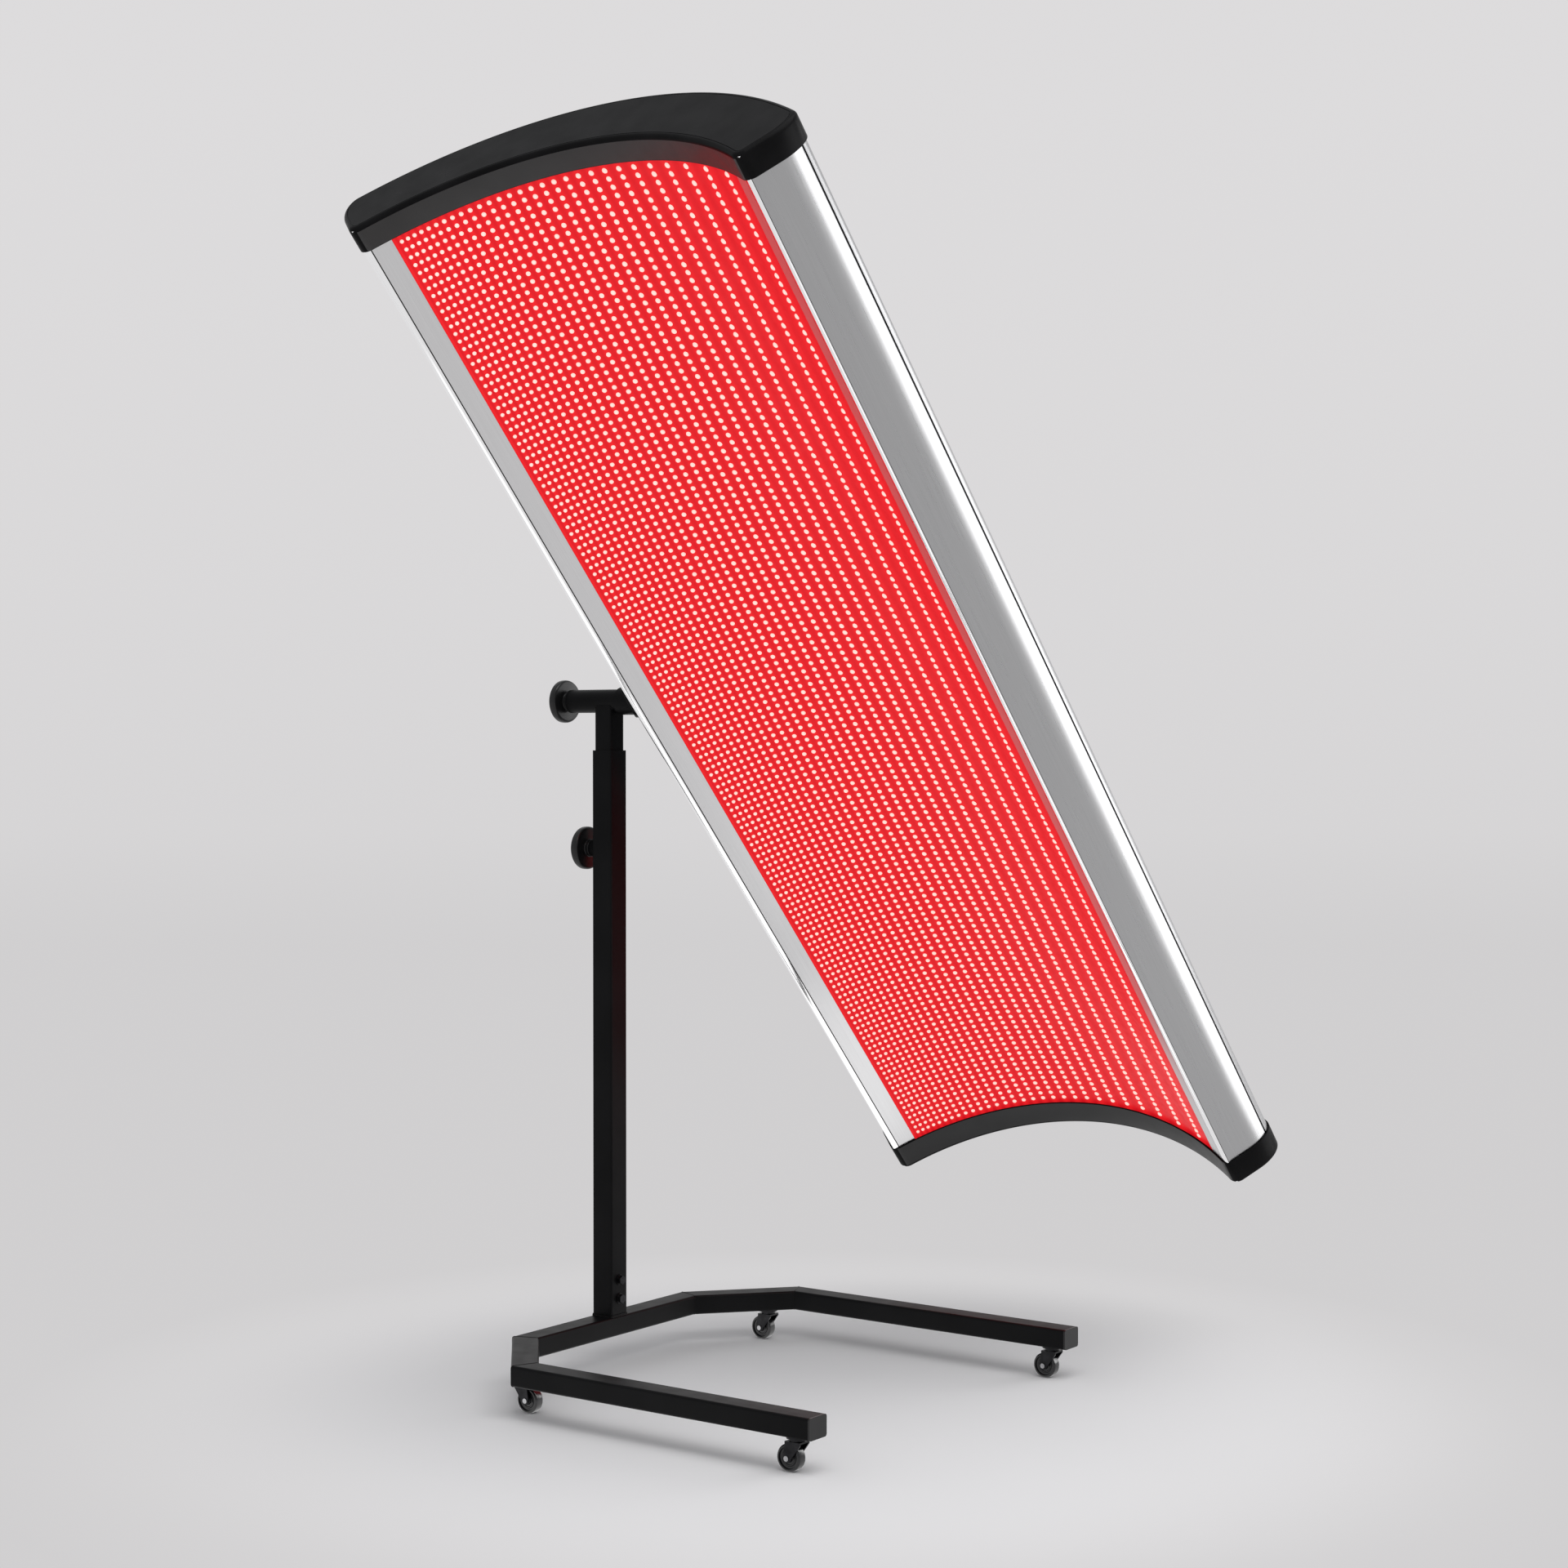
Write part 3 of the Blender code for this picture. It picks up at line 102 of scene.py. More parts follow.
def ranged(finish, source, from_low, from_high, low=0.0, high=1.0):
    """A node that maps one range of numbers to another."""
    span = add_node(finish, "ShaderNodeMapRange")
    limits = {"From Min": from_low, "From Max": from_high, "To Min": low, "To Max": high}
    for socket, limit in limits.items():
        span.inputs[socket].default_value = limit
    wire(finish, source, span.inputs["Value"])
    return span


def vary_gloss(finish, pattern, low, high):
    """The pattern moves the roughness between two values."""
    span = ranged(finish, pattern, 0.3, 0.7, low, high)
    wire(finish, span.outputs["Result"], shader_of(finish).inputs["Roughness"])


def blend_colours(finish, pattern, first, second, start, end, target):
    """The pattern blends two colours, over a part of its range, into a socket of the shader."""
    ramp = add_node(finish, "ShaderNodeValToRGB")
    for stop, place, colour in zip(ramp.color_ramp.elements, (start, end), (first, second)):
        stop.position = place
        stop.color = (*colour, 1)
    wire(finish, pattern, ramp.inputs["Fac"])
    wire(finish, ramp.outputs["Color"], shader_of(finish).inputs[target])


def vary_colour(finish, pattern, first, second, start=0.35, end=0.65):
    blend_colours(finish, pattern, first, second, start, end, "Base Color")


def relief(finish, pattern, height):
    """The pattern raises the surface by up to this height."""
    bump = add_node(finish, "ShaderNodeBump")
    bump.inputs["Strength"].default_value = 1.0
    bump.inputs["Distance"].default_value = height
    wire(finish, pattern, bump.inputs["Height"])
    wire(finish, bump.outputs["Normal"], shader_of(finish).inputs["Normal"])


def powder_coat():
    finish = finish_of("satin_powder_coat", BLACK_COAT, 0.40)
    dull_skin(finish, 0.5, 1.16)
    vary_colour(finish, grains(finish, 90 * MM), BLACK_COAT, WORN_COAT)
    vary_gloss(finish, grains(finish, 26 * MM, detail=5.0), 0.38, 0.43)
    relief(finish, grains(finish, 1.3 * MM, detail=1.5), 0.008 * MM)
    return finish


def smooth_round_parts():
    """Nodes that join a carried-over solid's faces and shade its round parts smoothly."""
    group = bpy.data.node_groups.new("smooth_round_parts", "GeometryNodeTree")
    group.interface.new_socket(name="Geometry", in_out="INPUT", socket_type="NodeSocketGeometry")
    group.interface.new_socket(name="Geometry", in_out="OUTPUT", socket_type="NodeSocketGeometry")
    kinds = ("NodeGroupInput", "GeometryNodeRemoveAttribute", "GeometryNodeMergeByDistance",
             "GeometryNodeStoreNamedAttribute", "GeometryNodeSetShadeSmooth", "NodeGroupOutput")
    steps = [group.nodes.new(kind) for kind in kinds]
    for step, following in zip(steps, steps[1:]):
        group.links.new(step.outputs[0], following.inputs[0])
    drop, join, mark, soften = steps[1:5]
    drop.inputs["Name"].default_value = "custom_normal"
    join.inputs["Distance"].default_value = 0.01 * MM
    mark.data_type = "BOOLEAN"
    mark.domain = "EDGE"
    mark.inputs["Name"].default_value = "sharp_edge"
    angle = group.nodes.new("GeometryNodeInputMeshEdgeAngle")
    crease = group.nodes.new("FunctionNodeCompare")
    crease.data_type = "FLOAT"
    crease.operation = "GREATER_THAN"
    crease.inputs[1].default_value = math.radians(ROUND_PART_ANGLE)
    group.links.new(angle.outputs["Unsigned Angle"], crease.inputs[0])
    group.links.new(crease.outputs[0], mark.inputs["Value"])
    return group


ROUND_PARTS = smooth_round_parts()


def dress(finish, *names):
    """Gives carried-over solids their finish and smooth round parts."""
    for name in names:
        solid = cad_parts[name]
        if not solid.material_slots:
            solid.data.materials.append(None)
        for place in solid.material_slots:
            place.link = "OBJECT"
            place.material = finish
        soften = solid.modifiers.new("round_parts", "NODES")
        soften.node_group = ROUND_PARTS
        flats = solid.modifiers.new("flat_faces", "WEIGHTED_NORMAL")
        flats.keep_sharp = True


COAT = powder_coat()
dress(COAT, "base_leg_left", "base_leg_right", "base_corner_left", "base_corner_right",
      "base_crossbar")

# Welds of the base
# A low ground steel weld runs round each mitre of the base and round the mast's foot. It is coated
# over with the tubes, so it shows as a fine raised line.

STAND = Vector((-127.164, 347.343, 0)) * MM
CROSSBAR_TOP = 84.4 * MM
BASE_PATH = [STAND + Vector((x, y, 68)) * MM for x, y in (
    (-350.5, -660.7), (-350.5, -124), (-208, 0), (208, 0), (350.5, -124), (350.5, -660.7))]


def round_oblong(width, height, corner, steps=5):
    """Outline of an oblong with round corners, about its middle."""
    outline = []
    for quarter in range(4):
        side_x = 1 if quarter in (0, 3) else -1
        side_y = 1 if quarter < 2 else -1
        for step in range(steps + 1):
            angle = (quarter + step / steps) * math.pi / 2
            outline.append((side_x * (width / 2 - corner) + corner * math.cos(angle),
                            side_y * (height / 2 - corner) + corner * math.sin(angle)))
    return outline


def weld_bead(name, path, radius, body):
    """A round bead along a closed path."""
    curve = bpy.data.curves.new(name, "CURVE")
    curve.dimensions = "3D"
    curve.bevel_depth = radius
    curve.bevel_resolution = 2
    spline = curve.splines.new("POLY")
    spline.points.add(len(path) - 1)
    for point, place in zip(spline.points, path):
        point.co = (*place, 1)
    spline.use_cyclic_u = True
    curve.materials.append(COAT)
    bead = bpy.data.objects.new(name, curve)
    bpy.context.scene.collection.objects.link(bead)
    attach(bead, body)


def weld_base_mitres():
    """Each bead lies in the plane of its mitre, just proud of the 42 x 32 mm tube."""
    tube = round_oblong(41.2 * MM, 31.2 * MM, 3.6 * MM)
    for mitre in range(1, len(BASE_PATH) - 1):
        place = BASE_PATH[mitre]
        before = (place - BASE_PATH[mitre - 1]).normalized()
        after = (BASE_PATH[mitre + 1] - place).normalized()
        across = before.cross(Vector((0, 0, 1)))
        cut = (before + after).normalized()
        path = []
        for side, height in tube:
            along = -side * across.dot(cut) / before.dot(cut)
            path.append(place + side * across + along * before + Vector((0, 0, height)))
        weld_bead("base_weld_%d" % mitre, path, 0.9 * MM, "base")


weld_base_mitres()
foot_outline = round_oblong(42 * MM, 41 * MM, 3 * MM)
foot_edge = [STAND + Vector((x, y, CROSSBAR_TOP)) for x, y in foot_outline]
weld_bead("mast_foot_weld", foot_edge, 1.0 * MM, "base")

# Moulded black plastic
# Tube plugs, knobs, bushes and end caps are moulded from black plastic with a fine spark-eroded
# grain, a little glossier than the coated steel.

CAP_BLACK = (0.0050, 0.0049, 0.0052)
CAP_GREY = (0.0080, 0.0078, 0.0082)


def grained_finish(name, colour, roughness, metallic, tones, gloss, sizes, height, detail=3.0):
    """A finish with blotches of two tones, patches of gloss and a fine relief. The sizes of the
    three and the relief's height are in millimetres."""
    blotch, patch, bump = sizes
    finish = finish_of(name, colour, roughness, metallic)
    vary_colour(finish, grains(finish, blotch * MM), *tones)
    vary_gloss(finish, grains(finish, patch * MM, detail=detail), *gloss)
    relief(finish, grains(finish, bump * MM, detail=1.0), height * MM)
    return finish


def moulded_plastic(name, dull, glossy, level, bend):
    finish = grained_finish(name, CAP_BLACK, dull, 0.0, (CAP_BLACK, CAP_GREY), (glossy, dull),
                            (60, 34, 0.8), 0.012, detail=4.0)
    dull_skin(finish, level, bend)
    return finish


PLASTIC = moulded_plastic("moulded_black_plastic", 0.42, 0.33, 0.40, 1.45)
dress(PLASTIC, "leg_end_plug_left", "leg_end_plug_right", "head_bush_front", "head_bush_rear",
      "fan_frame_upper", "fan_frame_lower", "fan_rotor_upper", "fan_rotor_lower", "power_inlet")

# Casters
# Four light swivel casters: a pressed fork in blackened steel turns under a ball race, and a zinced
# axle riveted into it carries a hard glossy plastic wheel with a dished web on each side.

FORK_STEEL = (0.012, 0.012, 0.013)
DARK_STEEL = grained_finish("blackened_steel", FORK_STEEL, 0.35, 0.85,
                            (FORK_STEEL, (0.024, 0.024, 0.026)), (0.26, 0.42), (14, 5, 0.6), 0.008)
BRIGHT = grained_finish("bright_zinc", (0.36, 0.36, 0.37), 0.30, 1.0,
                        ((0.30, 0.30, 0.31), (0.42, 0.42, 0.43)), (0.20, 0.34), (8, 3, 0.5), 0.006)
WHEEL = grained_finish("polished_wheel", (0.006, 0.006, 0.007), 0.18, 0.0,
                       ((0.005, 0.005, 0.006), (0.009, 0.009, 0.010)), (0.14, 0.28),
                       (10, 4, 0.9), 0.006, detail=4.0)
MERGE_DISTANCE = 0.005 * MM
SLIVER = 0.001 * MM


def rounded_profile(corners, steps=5):
    """Points of a profile whose corners (radius, height, rounding) are rounded off."""
    points = []
    last = len(corners) - 1
    for index, (radius, height, rounding) in enumerate(corners):
        here = Vector((radius, height))
        if rounding == 0 or index in (0, last):
            points.append(here)
            continue
        back = Vector(corners[index - 1][:2]) - here
        ahead = Vector(corners[index + 1][:2]) - here
        half = back.angle(ahead) / 2
        reach = min(rounding / math.tan(half), back.length * 0.49, ahead.length * 0.49)
        start = here + back.normalized() * reach
        end = here + ahead.normalized() * reach
        for step in range(steps + 1):
            share = step / steps
            points.append((1 - share) ** 2 * start + 2 * share * (1 - share) * here
                          + share ** 2 * end)
    return points


def circle(steps):
    """Cosine and sine of evenly spaced turns."""
    turns = [2 * math.pi * step / steps for step in range(steps)]
    return [(math.cos(turn), math.sin(turn)) for turn in turns]


def lathe_turned(name, corners, place, finish, body, steps=56, closed=False):
    """A turned piece: its profile runs round the Z axis of this place."""
    profile = rounded_profile(corners)
    mesh = bpy.data.meshes.new(name)
    count = len(profile)
    points = [(point.x * x, point.x * y, point.y) for x, y in circle(steps) for point in profile]
    faces = []
    for turn in range(steps):
        for index in range(count if closed else count - 1):
            here, beside = turn * count, (turn + 1) % steps * count
            follow = (index + 1) % count
            faces.append((here + index, beside + index, beside + follow, here + follow))
    mesh.from_pydata(points, [], faces)
    return finished_piece(name, mesh, place, finish, body)


def finished_piece(name, mesh, place, finish, body, crease=ROUND_PART_ANGLE):
    """Cleans a mesh, lays it in its place, and lets it ride on its body with its finish."""
    shape = bmesh.new()
    shape.from_mesh(mesh)
    bmesh.ops.remove_doubles(shape, verts=shape.verts, dist=MERGE_DISTANCE)
    bmesh.ops.dissolve_degenerate(shape, edges=shape.edges, dist=SLIVER)
    bmesh.ops.recalc_face_normals(shape, faces=shape.faces)
    bmesh.ops.transform(shape, matrix=place, verts=shape.verts)
    shape.to_mesh(mesh)
    shape.free()
    mesh.shade_smooth()
    mesh.set_sharp_from_angle(angle=math.radians(crease))
    mesh.materials.append(finish)
    piece = bpy.data.objects.new(name, mesh)
    bpy.context.scene.collection.objects.link(piece)
    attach(piece, body)
    return piece


def caster_wheel(corner):
    """The tread is crowned, and a raised ring and a hub stand in the dished web."""
    node = "caster_%s_wheel" % corner
    low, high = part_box(node)
    half = [(3.4, 8.0, 0), (6.0, 8.0, 0.7), (6.7, 5.2, 0.8), (9.5, 4.9, 0.5), (10.2, 6.0, 0.4),
            (11.6, 6.0, 0.4), (12.4, 4.9, 0.5), (15.0, 5.2, 0.8), (15.8, 8.5, 0.5),
            (17.6, 8.5, 1.2), (19.8, 6.6, 2.2), (20.0, 0, 0)]
    other = [(radius, -height, rounding) for radius, height, rounding in reversed(half[:-1])]
    corners = [tuple(value * MM for value in point) for point in half + other]
    place = Matrix.Translation((low + high) / 2) @ Matrix.Rotation(math.pi / 2, 4, "Y")
    wheel = lathe_turned("wheel_" + corner, corners, place, WHEEL, "wheel_" + corner,
                         closed=True)
    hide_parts(node)


for caster_corner in ("front_left", "front_right", "rear_left", "rear_right"):
    caster_wheel(caster_corner)
    dress(DARK_STEEL, "caster_%s_fork" % caster_corner, "caster_%s_seat" % caster_corner)
    dress(BRIGHT, "caster_%s_axle" % caster_corner)

# Mast
# A square outer steel tube slips over a stub on the crossbar and is held by two bolts. A smaller
# one slides in it on nylon, and carries the level round tube that the canopy turns in.

NYLON = grained_finish("natural_nylon", (0.70, 0.70, 0.67), 0.45, 0.0,
                       ((0.64, 0.64, 0.60), (0.74, 0.74, 0.72)), (0.38, 0.52), (20, 6, 0.7), 0.008)
dress(COAT, "mast_stub", "mast_tube", "mast_inner_tube", "head_tube", "height_lock_boss",
      "canopy_spindle")
dress(NYLON, "mast_sleeve", "mast_inner_glide")
dress(DARK_STEEL, "mast_foot_bolt_lower", "mast_foot_bolt_upper")
dress(BRIGHT, "height_lock_stud", "tilt_lock_stud", "pivot_bolt")

PIVOT = Vector((-127.164, 303.343, 1086)) * MM
HEAD_TUBE_RADIUS = 19 * MM
BOSS_FOOT = Vector((-127.164, 367.543, 846)) * MM
BOSS_RADIUS = 13 * MM


def weld_under_head_tube():
    """The inner tube's top is coped to the round tube, and welded along the saddle."""
    path = []
    for across, along in round_oblong(34.4 * MM, 34.4 * MM, 3 * MM):
        drop = math.sqrt(HEAD_TUBE_RADIUS ** 2 - min(abs(across), 17.4 * MM) ** 2)
        path.append((STAND.x + across, STAND.y + along, PIVOT.z - drop))
    weld_bead("head_tube_weld", path, 1.1 * MM, "inner_mast")


weld_under_head_tube()
boss_edge = [BOSS_FOOT + BOSS_RADIUS * Vector((across, 0, up)) for across, up in circle(32)]
weld_bead("boss_weld", boss_edge, 1.0 * MM, "base")

# Hand knobs
# Two round plastic knobs moulded over a steel stud, with a fat rim, a shallow dish in the outer
# face and a plug in its middle. They are screwed in by hand to lock the height and the tilt.

KNOB_PLASTIC = moulded_plastic("knob_plastic", 0.36, 0.26, 0.40, 1.45)


def hand_knob(name, node, body, place):
    """The profile runs from the bottom of the bore round the rim to the outer face's middle."""
    corners = [(0, 9.0, 0), (5.3, 9.0, 0.1), (5.3, 0.0, 0.3), (14, 0.0, 1.0), (14, 7.0, 1.5),
               (35, 7.0, 4.8), (35, 20.0, 5.2), (27.0, 20.0, 1.4), (25.4, 18.6, 1.4),
               (11.2, 18.6, 0.3), (10.9, 19.3, 0.5), (0, 19.3, 0)]
    profile = [tuple(value * MM for value in point) for point in corners]
    ahead = Matrix.Translation(Vector(place) * MM) @ Matrix.Rotation(-math.pi / 2, 4, "X")
    knob = lathe_turned(name, profile, ahead, KNOB_PLASTIC, body, steps=72)
    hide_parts(node)


hand_knob("height_knob", "height_lock_knob", "height_knob", (-127.164, 381.943, 846))
hand_knob("tilt_knob", "tilt_lock_knob", "tilt_knob", (-127.164, 427.943, 1086))

# Canopy side rails
# Two aluminium extrusions run the length of the canopy: a bright rim beside the lamps, a satin
# side that bellies into a long oval corner with a grooved seam, and a polished bead let in between.
# The seam's groove and the bed under the bead are black: painted shade for these narrow gaps.

TILT = math.radians(43.3)
TURN = math.radians(3.8)
ARCH_HALF = math.radians(42)
ARCH_INNER = 490 * MM
ARCH_OUTER = 590 * MM
CANOPY_TOP = 939 * MM
CANOPY_BOTTOM = -1129 * MM
RAIL_ENDS = (CANOPY_BOTTOM + 4.3 * MM, CANOPY_TOP - 4.3 * MM)
SIDE_OUT = Vector((math.cos(ARCH_HALF), -math.sin(ARCH_HALF)))
SIDE_UP = Vector((math.sin(ARCH_HALF), math.cos(ARCH_HALF)))
HUB_FOOT = 550 * MM * Vector((-SIDE_UP.x, SIDE_UP.y))


def arch_frame():
    """Place of the arch's centre line: X across the canopy, Y to its back and Z up along it."""
    tilted = Matrix.Translation(PIVOT) @ Euler((TILT, 0, -math.pi / 2)).to_matrix().to_4x4()
    shift = Matrix.Rotation(TURN, 2) @ HUB_FOOT
    return tilted @ Matrix.Translation((-shift.x, -shift.y, 0)) @ Matrix.Rotation(TURN, 4, "Z")


ARCH = arch_frame()


def on_arch(radius, angle):
    return radius * Vector((math.sin(angle), math.cos(angle)))


def arc_about(centre, radius, start, end, steps):
    """Arc from one direction to another, counter-clockwise."""
    sweep = (math.atan2(end.y, end.x) - math.atan2(start.y, start.x)) % (2 * math.pi)
    return [centre + radius * (Matrix.Rotation(sweep * step / steps, 2) @ start)
            for step in range(steps + 1)]


def corner_centre(reach, inset):
    return math.sqrt(reach ** 2 - inset ** 2) * SIDE_UP - inset * SIDE_OUT


CAP_CORNER = 14 * MM
BEAD_WIDE = 11.5 * MM
BEAD_DEEP = 5.5 * MM
BEAD_STEP = 0.7 * MM
RAIL_CORNER_ANGLE = ARCH_HALF - BEAD_WIDE / ARCH_INNER
BELLY_LONG = 50 * MM
BELLY_SHORT = 30 * MM
BELLY_RISE = 539.213 * MM
BELLY_SWEEP = math.radians(91.81)
SEAM_TURN = math.radians(49)
SEAM_HALF = math.radians(2.2)
SEAM_DEPTH = 1.4 * MM
SEAM_SHADE_REACH = 2.1 * MM
BED_SHADE_REACH = 0.5 * MM
RIM_REACH = 0.3 * MM
RAIL_CREASE = 24
WALL = 2.5 * MM
INSIDE_WALL = -2.8 * MM


def oval_corner(grow, steps=14):
    """The rail's inner corner: a quarter oval, wide along the rim and short along the side."""
    foot = on_arch(ARCH_INNER, RAIL_CORNER_ANGLE)
    middle = foot + BEAD_DEEP * SIDE_UP
    wide = -middle.dot(SIDE_OUT)
    path = []
    for step in range(steps + 1):
        turn = math.pi / 2 * step / steps
        out = Vector((math.sin(turn) / wide, -math.cos(turn) / BEAD_DEEP)).normalized()
        place = Vector((wide * math.sin(turn), -BEAD_DEEP * math.cos(turn))) + grow * out
        path.append(middle + place.x * SIDE_OUT + place.y * SIDE_UP)
    return path


def belly(turn, grow=0.0):
    """Place on the side's long oval corner, turned from 0 on the flat and grown outwards."""
    out = Vector((math.cos(turn) / BELLY_SHORT, math.sin(turn) / BELLY_LONG)).normalized()
    place = Vector((BELLY_SHORT * (math.cos(turn) - 1), BELLY_RISE + BELLY_LONG * math.sin(turn)))
    place += grow * out
    return place.x * SIDE_OUT + place.y * SIDE_UP


def half_section(grow, inner_from=0.0, outer_to=0.0, arch_steps=44, nick=0.0, oval=False):
    """Right half of the section, grown: inner arch, inner corner, side and belly, outer arch. A
    nick steps the oval inner corner down by so much for the bead, and cuts the seam."""
    middle = corner_centre(ARCH_INNER + CAP_CORNER, CAP_CORNER)
    inner_angle = RAIL_CORNER_ANGLE if oval else math.atan2(middle.x, middle.y)
    path = [on_arch(ARCH_INNER - grow, inner_from + (inner_angle - inner_from) * step / arch_steps)
            for step in range(arch_steps + (1 if nick else 0))]
    if oval:
        path += oval_corner(grow - nick)
    else:
        path += arc_about(middle, CAP_CORNER + grow, -middle.normalized(), SIDE_OUT, 10)
    if nick:
        path.append(oval_corner(grow)[-1])
    turns = [BELLY_SWEEP * step / 40 for step in range(41)]
    if nick:
        turns = sorted(turns + [SEAM_TURN + share * SEAM_HALF for share in (-1.1, -0.8, 0.8, 1.1)])
    for turn in turns:
        cut = SEAM_DEPTH if nick and abs(turn - SEAM_TURN) < SEAM_HALF else 0
        path.append(belly(turn, grow - cut))
    end = belly(BELLY_SWEEP)
    outer_angle = math.atan2(end.x, end.y)
    path += [on_arch(ARCH_OUTER + grow, outer_angle + (outer_to - outer_angle) * step / arch_steps)
             for step in range(1, arch_steps + 1)]
    return path


def mirror_section(path):
    return [Vector((-point.x, point.y)) for point in reversed(path)]


def ring_of(shape, outline, height):
    """New corners of a shape along an outline."""
    return [shape.verts.new((point.x, point.y, height)) for point in outline]


def join_rings(shape, rings):
    """New walls from each closed ring of corners to the next."""
    walls = []
    for near, far in zip(rings, rings[1:]):
        for index in range(len(near)):
            follow = (index + 1) % len(near)
            walls.append(shape.faces.new((near[index], near[follow], far[follow], far[index])))
    return walls


def mesh_of(name, shape):
    mesh = bpy.data.meshes.new(name)
    shape.to_mesh(mesh)
    shape.free()
    return mesh


def extruded(name, outline, low, high, finish, body, slot, pick=None):
    """A straight length of one closed outline, laid out round its skin; pick tells a wall's finish
    from its middle."""
    shape = bmesh.new()
    laid = shape.loops.layers.uv.new("skin")
    rings = [ring_of(shape, outline, height) for height in (low, high)]
    reach = 0.0
    edges = zip(outline, outline[1:] + outline[:1])
    for skin, (here, beyond) in zip(join_rings(shape, rings), edges):
        end = reach + (beyond - here).length
        places = ((reach, low), (end, low), (end, high), (reach, high))
        reach = end
        for loop, place in zip(skin.loops, places):
            loop[laid].uv = place
        if pick:
            skin.material_index = pick((here + beyond) / 2)
    shape.faces.new(reversed(rings[0]))
    shape.faces.new(rings[1])
    return finished_piece(name, mesh_of(name, shape), ARCH, finish, body,
                          crease=RAIL_CREASE)


def drawn_metal(name, dark, light, dull, glossy):
    """Fine drawing lines run along an extrusion, under a satin skin."""
    finish = finish_of(name, light, dull, 1.0)
    lines = grains(finish, 0.9 * MM, stretch=(1, 0.004, 1), detail=2.0, laid_out=True)
    vary_colour(finish, lines, dark, light, 0.3, 0.7)
    vary_gloss(finish, grains(finish, 3 * MM, stretch=(1, 0.02, 1), laid_out=True), glossy, dull)
    relief(finish, lines, 0.0015 * MM)
    return finish


SATIN_SIDE = drawn_metal("satin_anodised", (0.385, 0.385, 0.39), (0.415, 0.415, 0.42), 0.34, 0.26)
BRIGHT_RIM = drawn_metal("bright_rim", (0.64, 0.64, 0.645), (0.69, 0.69, 0.695), 0.36, 0.30)
POLISHED_BEAD = drawn_metal("polished_bead", (0.90, 0.90, 0.91), (0.95, 0.95, 0.95), 0.14, 0.10)
RIM_WIDE = 43 * MM
RETURN_WIDE = 50 * MM
RIM_ANGLE = ARCH_HALF - RIM_WIDE / ARCH_INNER
RETURN_ANGLE = ARCH_HALF - RETURN_WIDE / ARCH_OUTER


def rail_outline():
    """A wall of one thickness, stepped down under the bead and with a seam in its belly."""
    outer = half_section(0, RIM_ANGLE, RETURN_ANGLE, 14, BEAD_STEP, oval=True)
    inner = half_section(-WALL, RIM_ANGLE, RETURN_ANGLE, 14, oval=True)
    return outer + inner[::-1]


def bead_outline():
    """The bead keeps a fine groove on both sides, dark from the painted shade of the black bed."""
    crown, gap, steps = 0.25 * MM, 0.05 * MM, 30
    return oval_corner(crown, steps)[3:-3] + oval_corner(gap - BEAD_STEP, steps)[-4:2:-1]


BEAD_BED = oval_corner(-BEAD_STEP / 2, 60)


def rail_skin(place):
    """0 for the satin side and back, 1 for the bright rim, 2 for painted shade: black plastic on
    the bead's bed and in the seam's groove."""
    place = Vector((abs(place.x), place.y))
    # Painted shade: the bed under the bead and the seam's groove are black, for the shade in the
    # gaps.
    under_bead = min((place - spot).length for spot in BEAD_BED) < BED_SHADE_REACH
    if under_bead or (place - belly(SEAM_TURN)).length < SEAM_SHADE_REACH:
        return 2
    return int(place.length < ARCH_INNER + RIM_REACH)


def side_rails():
    for side, turned_over in (("right", list), ("left", mirror_section)):
        rail = extruded("rail_" + side, turned_over(rail_outline()), *RAIL_ENDS, SATIN_SIDE,
                        "canopy", "satin_aluminium", pick=rail_skin)
        rail.data.materials.append(BRIGHT_RIM)
        # Slot 2 is black plastic as painted shade in the bead's bed and the seam's groove.
        rail.data.materials.append(PLASTIC)
        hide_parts("side_rail_" + side)
        extruded("rail_bead_" + side, turned_over(bead_outline()), *RAIL_ENDS, POLISHED_BEAD,
                 "canopy", "satin_aluminium")


side_rails()

# Spindle saddle and backing plate
# The spindle's hub meets the left rail at a slant. A cast and coated saddle fits the hub to the
# rail's belly, and a zinc-plated plate pressed to the same belly backs the bolt up inside.

HUB_WAY = Vector((math.cos(TURN), -math.sin(TURN)))
PLATE_THICK = 4 * MM


def reach_to(outline, start, way):
    """Distance from a start to where a straight way first crosses an outline."""
    nearest = 1.0
    for here, beyond in zip(outline, outline[1:]):
        edge = beyond - here
        slant = way.cross(edge)
        if abs(slant) < 1e-9:
            continue
        gap = here - start
        along, share = gap.cross(edge) / slant, gap.cross(way) / slant
        if 0 <= share <= 1 and 0 < along < nearest:
            nearest = along
    return nearest


def spindle_saddle():
    """A ring round the hub whose two ends both follow the rail's skin."""
    far_off = HUB_FOOT - 90 * MM * HUB_WAY
    across = Vector((-HUB_WAY.y, HUB_WAY.x))
    skins = {grow: mirror_section(half_section(grow * MM)) for grow in (0.3, 4.4, 5.2)}
    shape = bmesh.new()
    rings = []
    for radius, grow in ((22.8, 5.2), (26.3, 5.2), (27.0, 4.4), (27.0, 0.3), (22.8, 0.3)):
        ring = []
        for up, aside in circle(64):
            start = far_off + radius * MM * aside * across
            place = start + reach_to(skins[grow], start, HUB_WAY) * HUB_WAY
            ring.append(shape.verts.new((place.x, place.y, radius * MM * up)))
        rings.append(ring)
    join_rings(shape, rings + rings[:1])
    finished_piece("spindle_saddle", mesh_of("spindle_saddle", shape), ARCH, COAT, "canopy")


